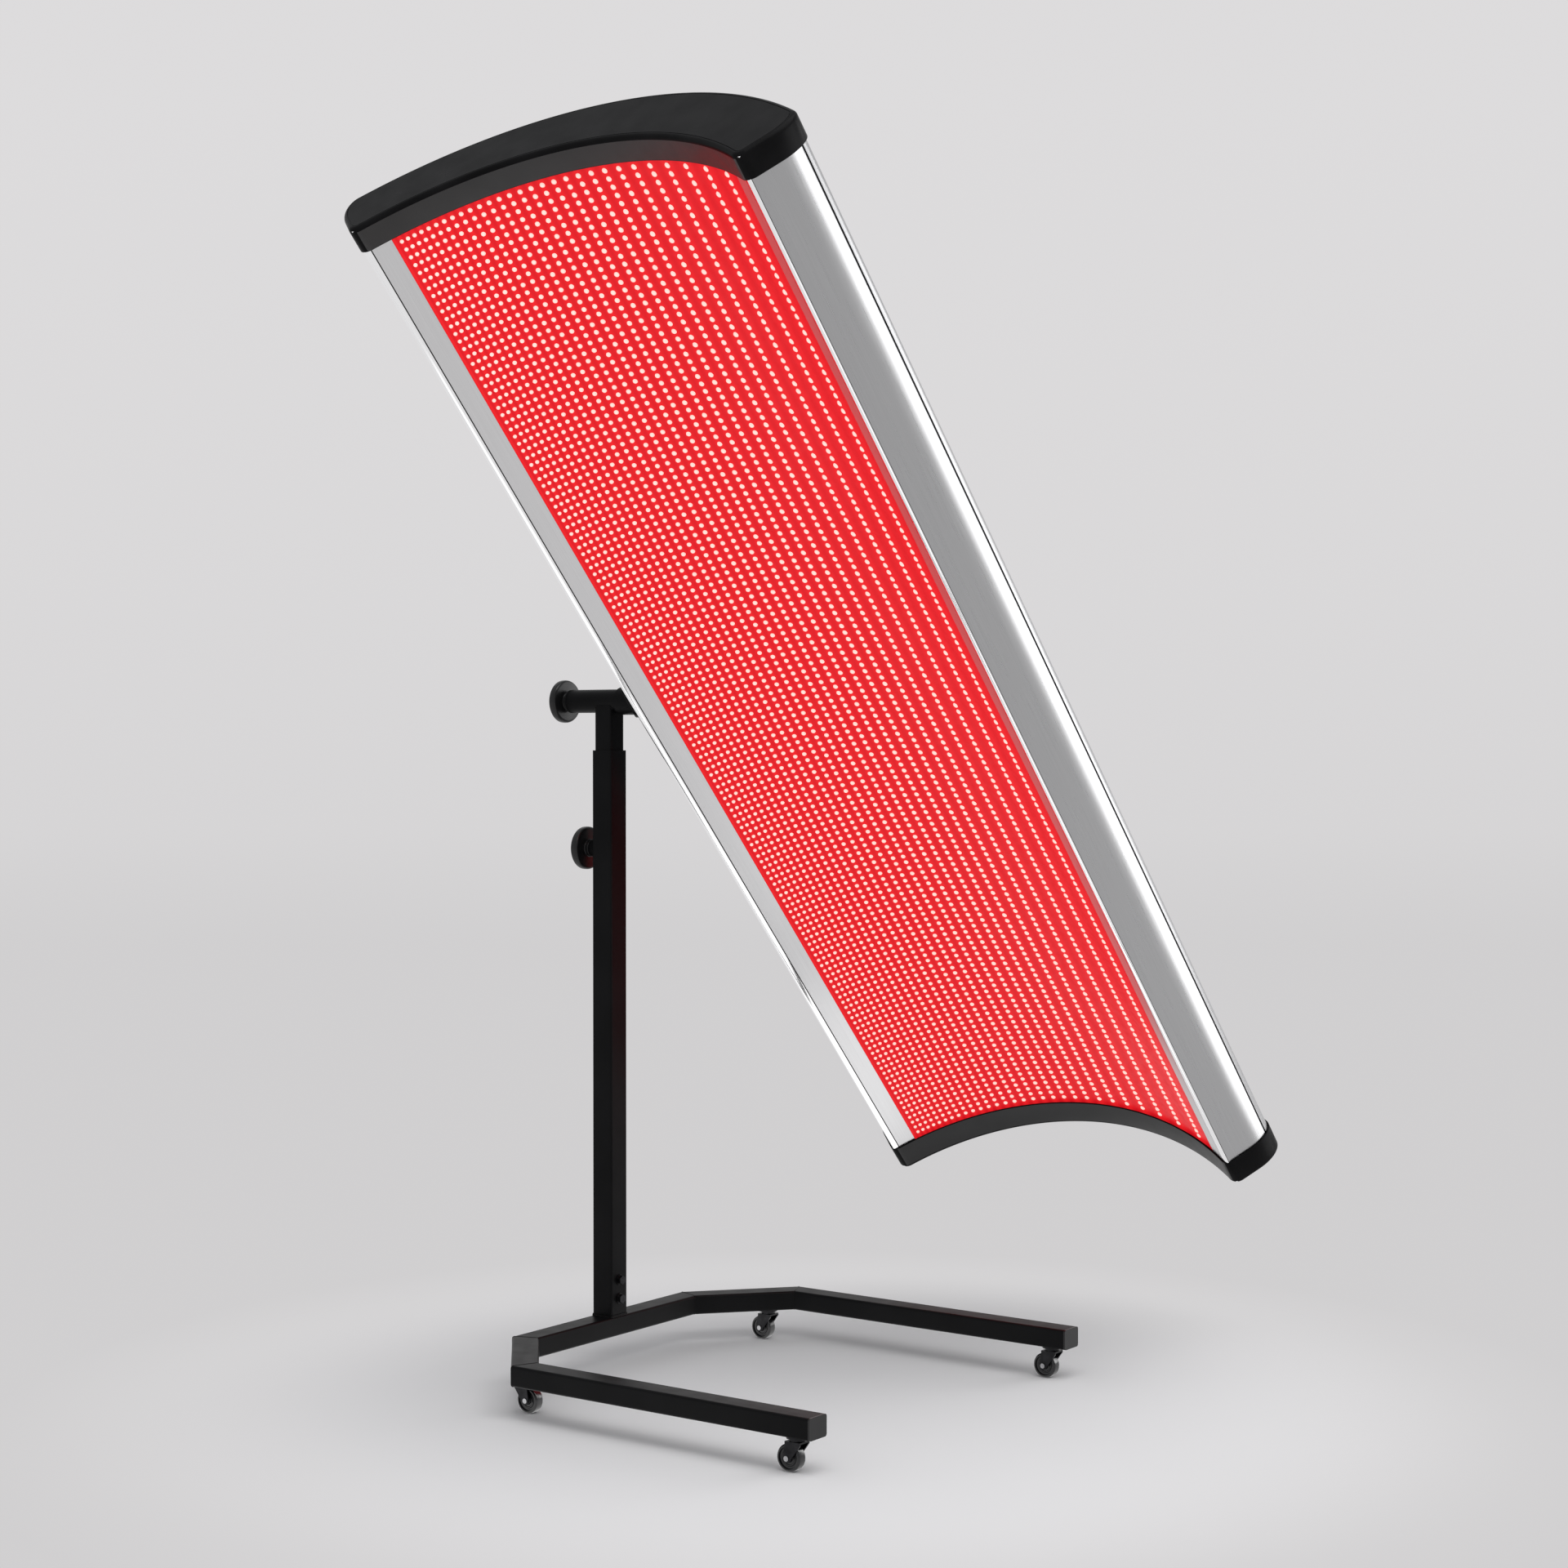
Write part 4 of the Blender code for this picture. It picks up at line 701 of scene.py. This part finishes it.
def backing_plate():
    """It bears on the rail's inside over part of the belly."""
    start, sweep, half_long = -14, 48, 45 * MM
    turns = [math.radians(start + sweep * step / 12) for step in range(13)]
    outline = [belly(turn, INSIDE_WALL) for turn in turns]
    outline += [belly(turn, INSIDE_WALL - PLATE_THICK) for turn in turns[::-1]]
    plate = extruded("backing_plate", mirror_section(outline), -half_long, half_long, ZINC,
                     "canopy", "zinc_sheet")
    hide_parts("pivot_backing_plate")


def zinc_finish(name, dark, light, dull):
    return grained_finish(name, dark, dull, 1.0, (dark, light), (dull - 0.08, dull + 0.06),
                          (30, 9, 1.0), 0.008, detail=4.0)


ZINC = zinc_finish("zinc_sheet", (0.44, 0.45, 0.47), (0.54, 0.55, 0.57), 0.40)
spindle_saddle()
backing_plate()

# Lamp boards and lamps
# Three curved circuit boards with a red skin line the arch, held behind the rails' rims. Each has a
# grid of lamps, every one a low clear lens over a lit chip. The chips' light on the board round
# them is painted on as the board's own glow.

BOARD_FACE = 492.8 * MM
BOARD_BACK = 495.8 * MM
BOARD_HALF = RIM_ANGLE + 8 * MM / ARCH_INNER
BOARD_LENGTH = (RAIL_ENDS[1] - RAIL_ENDS[0]) / 3
BOARD_JOINT = 0.1 * MM
LAMP_COLUMNS = 29
LAMP_ROWS = 51
FIRST_GAP = 9.8 * MM
GAP_GROWTH = 15 * MM
EDGE_GROWTH = 28 * MM
FIRST_PLACE = -305 * MM
SMALL_LENS = 3.1 * MM
LARGE_LENS = 4.7 * MM
LENS_HEIGHT = 2.6 * MM
TOP_SKIRT = 40 * MM
BOTTOM_SKIRT = 55 * MM


def column_places():
    """Arc length of each column: the gaps widen to the right, fastest near the edge."""
    places = [FIRST_PLACE]
    for gap in range(LAMP_COLUMNS - 1):
        share = gap / (LAMP_COLUMNS - 2)
        places.append(places[-1] + FIRST_GAP + GAP_GROWTH * share + EDGE_GROWTH * share ** 8)
    return places


COLUMNS = column_places()


def column_at(arc):
    """The column number at an arc length, whole on the columns."""
    number = min(max(sum(place <= arc for place in COLUMNS) - 1, 0), LAMP_COLUMNS - 2)
    return number + (arc - COLUMNS[number]) / (COLUMNS[number + 1] - COLUMNS[number])


def maths(finish, operation, *sources):
    node = add_node(finish, "ShaderNodeMath")
    node.operation = operation
    for source, target in zip(sources, node.inputs):
        wire(finish, source, target)
    return node


def split_axes(finish, source):
    split = add_node(finish, "ShaderNodeSeparateXYZ")
    wire(finish, source, split.inputs["Vector"])
    return split.outputs


def board_finish():
    """Red board glowing with painted lamp light: brighter along each column of lamps, deeper
    between.
    """
    finish = finish_of("red_board_painted_glow", (0.38, 0.006, 0.009), 0.42)
    dull_skin(finish, 0.15)
    column = split_axes(finish, add_node(finish, "ShaderNodeTexCoord").outputs["UV"])["X"]
    turn = maths(finish, "MULTIPLY", column)
    turn.inputs[1].default_value = 2 * math.pi
    wave = maths(finish, "COSINE", turn.outputs[0])
    glow = ranged(finish, wave.outputs[0], -1.0, 1.0)
    # Painted light: the emission is the lamps' light painted on the board, banded by column.
    blend_colours(finish, glow.outputs["Result"], (0.52, 0.005, 0.010), (0.69, 0.012, 0.016), 0, 1,
                  "Emission Color")
    shader_of(finish).inputs["Emission Strength"].default_value = 1.0
    vary_gloss(finish, grains(finish, 12 * MM), 0.36, 0.50)
    relief(finish, grains(finish, 1.5 * MM, detail=1.0), 0.01 * MM)
    return finish


def lens_finish():
    """Lit lens: nearly white in the middle, warmer round its edge."""
    finish = finish_of("lit_lens", (0.70, 0.58, 0.56), 0.20)
    edge = add_node(finish, "ShaderNodeLayerWeight")
    edge.inputs["Blend"].default_value = 0.25
    blend_colours(finish, edge.outputs["Facing"], (0.80, 0.46, 0.38), (0.80, 0.30, 0.26), 0, 0.9,
                  "Emission Color")
    shader_of(finish).inputs["Emission Strength"].default_value = 1.0
    relief(finish, grains(finish, 0.5 * MM, detail=1.0), 0.004 * MM)
    return finish


BOARD = board_finish()
LENS = lens_finish()


def lamp_board(name, node, low, high):
    """A curved board of one thickness with its skin laid out across and along."""
    steps = 180
    shape = bmesh.new()
    laid = shape.loops.layers.uv.new("skin")
    angles = [BOARD_HALF * (2 * step / steps - 1) for step in range(steps + 1)]
    edges = ((BOARD_FACE, low), (BOARD_FACE, high), (BOARD_BACK, high), (BOARD_BACK, low))
    rings = [ring_of(shape, [on_arch(radius, angle) for angle in angles], height)
             for radius, height in edges]
    for side in range(4):
        near, far = rings[side], rings[(side + 1) % 4]
        for step in range(steps):
            skin = shape.faces.new((near[step], near[step + 1], far[step + 1], far[step]))
            skin.material_index = min(side, 1)
            for loop in skin.loops:
                angle = angles[step + (loop.vert in (near[step + 1], far[step + 1]))]
                loop[laid].uv = (column_at(angle * ARCH_INNER), loop.vert.co.z)
    for end in (0, steps):
        shape.faces.new([ring[end] for ring in rings]).material_index = 1
    board = finished_piece(name, mesh_of(name, shape), ARCH, BOARD, "canopy")
    board.data.materials.append(ZINC)
    board.visible_diffuse = False
    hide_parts(node)


def lamp_lenses(name, low, high):
    """Domes on the board's face, in columns along it. Rows under a cap's skirt are left out."""
    points, faces = [], []
    pitch = (high - low) / LAMP_ROWS
    ring_shares = ((1.0, 0.0), (0.86, 0.5), (0.48, 0.88))
    around = 10
    turns = circle(around)
    for row in range(LAMP_ROWS):
        height = low + (row + 0.5) * pitch
        if not CANOPY_BOTTOM + BOTTOM_SKIRT < height < CANOPY_TOP - TOP_SKIRT:
            continue
        for column in range(LAMP_COLUMNS):
            angle = COLUMNS[column] / ARCH_INNER
            radius = SMALL_LENS + (LARGE_LENS - SMALL_LENS) * column / (LAMP_COLUMNS - 1)
            foot = on_arch(BOARD_FACE, angle)
            across = Vector((math.cos(angle), -math.sin(angle)))
            inwards = -on_arch(1.0, angle)
            first = len(points)
            for wide, tall in ring_shares:
                for aside, up in turns:
                    flat = foot + across * radius * wide * aside
                    flat = flat + inwards * LENS_HEIGHT * tall
                    points.append((flat.x, flat.y, height + radius * wide * up))
            crown = foot + inwards * LENS_HEIGHT
            points.append((crown.x, crown.y, height))
            last = first + (len(ring_shares) - 1) * around
            for here in range(first, last, around):
                for step in range(around):
                    follow = (step + 1) % around
                    faces.append((here + step, here + follow, here + around + follow,
                                  here + around + step))
            for step in range(around):
                faces.append((last + step, last + (step + 1) % around, len(points) - 1))
    mesh = bpy.data.meshes.new(name)
    mesh.from_pydata(points, [], faces)
    mesh.transform(ARCH)
    mesh.shade_smooth()
    mesh.materials.append(LENS)
    lenses = bpy.data.objects.new(name, mesh)
    bpy.context.scene.collection.objects.link(lenses)
    lenses.visible_diffuse = False
    lenses.visible_glossy = False
    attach(lenses, "canopy")


for board_number, board_level in enumerate(("lower", "middle", "upper")):
    board_low = RAIL_ENDS[0] + board_number * BOARD_LENGTH
    board_high = board_low + BOARD_LENGTH
    lamp_board("board_" + board_level, "lamp_board_" + board_level, board_low + BOARD_JOINT / 2,
               board_high - BOARD_JOINT / 2)
    lamp_lenses("lenses_" + board_level, board_low, board_high)

# Back cover
# One curved aluminium sheet closes the back, painted silver, with air slots over the two fans.
# It is held to the rails by small round-head screws along both sides.

SILVER_PAINT = grained_finish("silver_paint", (0.56, 0.565, 0.58), 0.40, 0.55,
                              ((0.53, 0.535, 0.55), (0.59, 0.595, 0.61)), (0.36, 0.48),
                              (160, 1.2, 0.9), 0.012)
dress(SILVER_PAINT, "back_cover")


def screw(name, place, finish):
    """A low round head with a hexagon socket, driven along the place's Z axis."""
    shape = bmesh.new()
    turns = [Vector(turn) for turn in circle(24)]
    head = ((3.6, 0.0), (3.6, 0.7), (3.2, 1.3), (2.3, 1.7), (1.6, 1.75))
    socket = 1.15 * MM
    rings = [ring_of(shape, [radius * MM * turn for turn in turns], height * MM)
             for radius, height in head]
    hexagon = []
    for turn in turns:
        angle = math.atan2(turn.y, turn.x)
        off_flat = (angle + math.pi / 6) % (math.pi / 3) - math.pi / 6
        hexagon.append(socket / math.cos(off_flat) * turn)
    rings += [ring_of(shape, hexagon, depth * MM) for depth in (1.75, 0.7)]
    join_rings(shape, rings)
    shape.faces.new(rings[-1])
    shape.faces.new(reversed(rings[0]))
    finished_piece(name, mesh_of(name, shape), place, finish, "canopy")


def on_back(radius, angle, height):
    """Place on the arch's back with its Z axis pointing out."""
    out = on_arch(1.0, angle)
    across = Vector((math.cos(angle), -math.sin(angle), 0))
    along = Vector((out.x, out.y, 0)).cross(across)
    turn = Matrix((across, along, (out.x, out.y, 0))).transposed().to_4x4()
    foot = on_arch(radius, angle)
    return ARCH @ Matrix.Translation((foot.x, foot.y, height)) @ turn


def cover_screws():
    """The screws pass through the rail's back return into the sheet under it."""
    first, pitch, inset = 130, 302, 9 * MM
    heights = [CANOPY_BOTTOM + (first + pitch * step) * MM for step in range(7)]
    angle = RETURN_ANGLE + inset / ARCH_OUTER
    places = [(side, height) for side in (-angle, angle) for height in heights]
    for number, (side, height) in enumerate(places):
        screw("cover_screw_%02d" % number, on_back(ARCH_OUTER, side, height), BRIGHT)


cover_screws()

# End caps
# A cup moulded from black plastic closes each end of the canopy, held by screws at the back. Its
# end face has a groove near a round edge. The top skirt's wall by the lamps has a coarser grain and
# is painted lighter and warm reddish: painted light from the lamps.

CAP_PLASTIC = moulded_plastic("cap_plastic", 0.36, 0.27, 0.15, 1.2)
# Painted light: lighter, warm reddish plastic for the top skirt's wall, for the lamps' red light on
# it.
SKIRT_PAINTED_RED_LIGHT = grained_finish("skirt_painted_red_light", (0.016, 0.0145, 0.0145), 0.45, 0.0,
                               ((0.014, 0.0128, 0.0128), (0.0185, 0.017, 0.017)), (0.40, 0.50),
                               (40, 20, 0.9), 0.015, detail=4.0)
CAP_CREASE = 40


def closed_section(grow):
    half = half_section(grow)
    return half + mirror_section(half)[1:-1]


def end_cap(name, node, end, skirt, inwards, wall_finish):
    """Lofted through grown sections, from the mouth over the lip and skirt to the end face. The
    growth and depth of each level are in millimetres."""
    wall_out, wall_in, edge = 3.25, 0.35, 7.0
    skirt = skirt / MM
    levels = [(wall_in, skirt - 8), (wall_in, skirt - 1.2), (wall_in + 0.5, skirt - 0.3),
              (wall_in + 1.2, skirt), (wall_out - 1.0, skirt), (wall_out - 0.3, skirt - 0.3),
              (wall_out, skirt - 1.0), (wall_out, edge + 2), (wall_out, edge)]
    for step in range(1, 9):
        angle = math.pi / 2 * step / 8
        levels.append((wall_out - edge * (1 - math.cos(angle)), edge * (1 - math.sin(angle))))
    flat = wall_out - edge
    levels += [(flat - 0.3, 0.0), (flat - 0.4, 0.7), (flat - 1.3, 0.7), (flat - 1.4, 0.0),
               (flat - 2.4, 0.0)]
    shape = bmesh.new()
    rings = [ring_of(shape, closed_section(grow * MM), end + inwards * depth * MM)
             for grow, depth in levels]
    # Skirt walls facing the lamps take the wall finish, which on the top cap is painted red light.
    for wall in join_rings(shape, rings):
        middle = wall.calc_center_median()
        on_skirt = edge < abs(middle.z - end) / MM < skirt - 1
        wall.material_index = int(on_skirt and middle.xy.length < ARCH_INNER - 1 * MM)
    shape.faces.new(rings[-1])
    shape.faces.new(reversed(rings[0]))
    cap = finished_piece(name, mesh_of(name, shape), ARCH, CAP_PLASTIC, "canopy",
                         crease=CAP_CREASE)
    cap.data.materials.append(wall_finish)
    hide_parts(node)


end_cap("cap_top", "end_cap_top", CANOPY_TOP, TOP_SKIRT, -1, SKIRT_PAINTED_RED_LIGHT)
end_cap("cap_bottom", "end_cap_bottom", CANOPY_BOTTOM, BOTTOM_SKIRT, 1, PLASTIC)


def cap_screws():
    """Four dark screws hold each cap's skirt, on the back only."""
    skin = ARCH_OUTER + 3.2 * MM
    heights = (CANOPY_BOTTOM + 30 * MM, CANOPY_TOP - 22 * MM)
    angles = (-0.52, -0.18, 0.18, 0.52)
    places = [(angle, height) for height in heights for angle in angles]
    for number, (angle, height) in enumerate(places):
        screw("cap_screw_%d" % number, on_back(skin, angle, height), DARK_STEEL)


cap_screws()

# Inlet, switch and inner pieces
# The mains inlet and its red rocker clip into the back cover. Behind the boards, zinc-plated steel
# ribs and a spine channel carry two supplies in folded aluminium cases and two fans.

ROCKER = grained_finish("red_rocker", (0.55, 0.012, 0.016), 0.25, 0.0,
                        ((0.50, 0.010, 0.014), (0.60, 0.016, 0.020)), (0.20, 0.32),
                        (9, 3, 0.6), 0.006)
MILL_ALUMINIUM = zinc_finish("mill_aluminium", (0.54, 0.55, 0.57), (0.62, 0.63, 0.65), 0.36)
dress(ZINC, "spine_channel")
dress(MILL_ALUMINIUM, "power_supply_upper", "power_supply_lower")
dress(ROCKER, "switch_rocker")

RIB_INNER = 496.1 * MM
RIB_OUTER = 584.9 * MM
RIB_MIDDLE = 540.5 * MM
SPINE_WINDOW = ((-55.3, 503.5), (55.3, 503.5), (55.3, 519.1), (-55.3, 519.1))


def frame_rib(name, node, height):
    """A plate cut to the canopy's inside, with a window for the spine and two round holes."""
    edge = []
    for point in half_section(INSIDE_WALL, oval=True):
        edge.append(point.normalized() * min(max(point.length, RIB_INNER), RIB_OUTER))
    outlines = [edge + mirror_section(edge)[1:-1], [Vector(place) * MM for place in SPINE_WINDOW]]
    hole_angle, hole_radius = math.radians(24), 15 * MM
    for side in (-1, 1):
        hole = on_arch(RIB_MIDDLE, side * hole_angle)
        outlines.append([hole + hole_radius * Vector(turn) for turn in circle(32)])
    shape = bmesh.new()
    edges = []
    for outline in outlines:
        ring = ring_of(shape, outline, 0)
        edges += [shape.edges.new(pair) for pair in zip(ring, ring[1:] + ring[:1])]
    bmesh.ops.triangle_fill(shape, use_beauty=True, use_dissolve=False, edges=edges)
    raised = bmesh.ops.extrude_face_region(shape, geom=shape.faces[:])["geom"]
    corners = [part for part in raised if isinstance(part, bmesh.types.BMVert)]
    bmesh.ops.translate(shape, vec=(0, 0, PLATE_THICK), verts=corners)
    bmesh.ops.translate(shape, vec=(0, 0, height - PLATE_THICK / 2), verts=shape.verts)
    rib = finished_piece(name, mesh_of(name, shape), ARCH, ZINC, "canopy")
    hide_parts(node)


frame_rib("rib_lower", "frame_rib_lower", RAIL_ENDS[0] + BOARD_LENGTH)
frame_rib("rib_upper", "frame_rib_upper", RAIL_ENDS[1] - BOARD_LENGTH)

# Studio
# A pale seamless floor that curves up into a backdrop, soft daylight from all round, and a broad
# lamp above and beside the canopy. A strip lamp and a floor card are seen only in metal.

FLOOR_GREY = (0.745, 0.735, 0.74)
BASE_MIDDLE = (-0.13, -0.05, 0.0)
VIEW_TURN = math.radians(-54)


def backdrop():
    """Floor and wall in one sweep, far larger than the view."""
    shape = bmesh.new()
    width, depth, wall, bend = 30.0, 9.0, 12.0, 4.0
    profile = [(-14.0, 0.0), (depth, 0.0)]
    for step in range(1, 25):
        angle = math.pi / 2 * step / 24
        profile.append((depth + bend * math.sin(angle), bend * (1 - math.cos(angle))))
    profile.append((depth + bend, wall))
    rows = [[shape.verts.new((side * width / 2, away, height)) for away, height in profile]
            for side in (-1, 1)]
    for index in range(len(profile) - 1):
        shape.faces.new((rows[0][index], rows[1][index], rows[1][index + 1], rows[0][index + 1]))
    bmesh.ops.transform(shape, matrix=Matrix.Rotation(VIEW_TURN, 4, "Z"), verts=shape.verts)
    mesh = mesh_of("backdrop", shape)
    mesh.shade_smooth()
    mesh.materials.append(paper_finish())
    sweep = bpy.data.objects.new("backdrop", mesh)
    bpy.context.scene.collection.objects.link(sweep)


def paper_finish():
    """Lit by the lamps near the base. Farther off the camera sees it glow with painted light,
    darker at the floor, lighter up the wall and a little brighter near the base; in metal it is
    plain grey.
    """
    finish = finish_of("backdrop_paper", FLOOR_GREY, 0.75)
    dull_skin(finish, 0.0)
    vary_colour(finish, grains(finish, 900 * MM), FLOOR_GREY, (0.755, 0.745, 0.75))
    where = add_node(finish, "ShaderNodeNewGeometry").outputs["Position"]
    distance = add_node(finish, "ShaderNodeVectorMath")
    distance.operation = "DISTANCE"
    distance.inputs[1].default_value = BASE_MIDDLE
    wire(finish, where, distance.inputs[0])
    fade = ranged(finish, distance.outputs["Value"], 0.5, 1.1)
    fade.interpolation_type = "SMOOTHSTEP"
    # Painted light: the glow is up to 9% stronger near the base, a painted pool of light.
    near = ranged(finish, distance.outputs["Value"], 0.7, 1.25, 1.09, 0.985)
    rays = add_node(finish, "ShaderNodeLightPath").outputs
    share = maths(finish, "MULTIPLY", rays["Is Camera Ray"], fade.outputs["Result"])
    in_metal = maths(finish, "MAXIMUM", rays["Is Glossy Ray"], rays["Is Transmission Ray"])
    # Painted light: to the camera the glow is darker at the floor and lighter up the wall.
    rise = ranged(finish, split_axes(finish, where)["Z"], 0.0, 5.0)
    painted_height_grade = add_node(finish, "ShaderNodeValToRGB")
    tones = ((0.0, 0.645), (0.1, 0.685), (0.2, 0.695), (0.4, 0.71), (0.7, 0.725), (1.0, 0.735))
    while len(painted_height_grade.color_ramp.elements) < len(tones):
        painted_height_grade.color_ramp.elements.new(0.5)
    for stop, (place, level) in zip(painted_height_grade.color_ramp.elements, tones):
        stop.position = place
        stop.color = (level, level * 0.985, level * 0.995, 1)
    wire(finish, rise.outputs["Result"], painted_height_grade.inputs["Fac"])
    surface = shader_of(finish).outputs["BSDF"]
    mixes = ((share.outputs[0], painted_height_grade.outputs["Color"]), (in_metal.outputs[0], None))
    for ray_share, colour in mixes:
        plain = add_node(finish, "ShaderNodeEmission")
        plain.inputs["Color"].default_value = (0.80, 0.795, 0.80, 1)
        if colour:
            wire(finish, colour, plain.inputs["Color"])
            wire(finish, near.outputs["Result"], plain.inputs["Strength"])
        blend = add_node(finish, "ShaderNodeMixShader")
        wire(finish, ray_share, blend.inputs["Fac"])
        wire(finish, surface, blend.inputs[1])
        wire(finish, plain.outputs["Emission"], blend.inputs[2])
        surface = blend.outputs["Shader"]
    wire(finish, surface, finish.node_tree.nodes["Material Output"].inputs["Surface"])
    return finish


def soft_lamp(name, place, target, size, power):
    lamp = bpy.data.lights.new(name, "AREA")
    lamp.shape = "RECTANGLE"
    lamp.size, lamp.size_y = size
    lamp.energy = power
    light = bpy.data.objects.new(name, lamp)
    light.location = place
    light.rotation_euler = (Vector(target) - Vector(place)).to_track_quat("-Z", "Y").to_euler()
    light.visible_camera = False
    bpy.context.scene.collection.objects.link(light)
    return light


def mirrored_lamp(name, place, target, size, brightness):
    """A lamp that shows in metal and lights nothing else."""
    width, length = size
    light = soft_lamp(name, place, target, size, brightness * math.pi * width * length)
    light.visible_diffuse = False
    return light


def strip_lamp():
    """It stands beside the right rail and leans as the rail does."""
    light = mirrored_lamp("strip_lamp", (0.293, -0.88, 0.99), (0, 0, 0), (0.32, 2.3), 3.0)
    along = Vector((0.667, 0.055, -0.743)).normalized()
    facing = Vector((-0.61, 0.75, 0.24))
    facing = (facing - facing.dot(along) * along).normalized()
    light.rotation_euler = Matrix((along.cross(-facing), along, -facing)).transposed().to_euler()


def daylight():
    world = bpy.data.worlds.new("daylight")
    world.use_nodes = True
    world.node_tree.nodes["Background"].inputs["Color"].default_value = (0.97, 0.98, 1.0, 1)
    world.node_tree.nodes["Background"].inputs["Strength"].default_value = 0.66
    bpy.context.scene.world = world


def portrait_camera():
    camera = bpy.data.cameras.new("camera")
    camera.lens = 63.17
    camera.sensor_width = 36.0
    camera.clip_end = 100.0
    portrait = bpy.data.objects.new("camera", camera)
    portrait.location = (-3.58847, -2.51343, 1.02773)
    portrait.rotation_euler = (math.radians(90 - 0.9797), 0, math.radians(-54.0581))
    bpy.context.scene.collection.objects.link(portrait)
    bpy.context.scene.camera = portrait


backdrop()
daylight()
soft_lamp("overhead_lamp", (-1.1, -1.7, 4.2), (0, 0, 0.8), (3.5, 3.5), 100)
soft_lamp("side_lamp", (4.2, -2.6, 1.9), (0.1, -0.3, 1.0), (1.6, 3.0), 40)
strip_lamp()
mirrored_lamp("floor_panel", (-0.35, 0.15, 0.004), (-0.35, 0.15, 1), (1.9, 0.6), 0.45)
portrait_camera()
bpy.context.scene.view_settings.view_transform = "Standard"
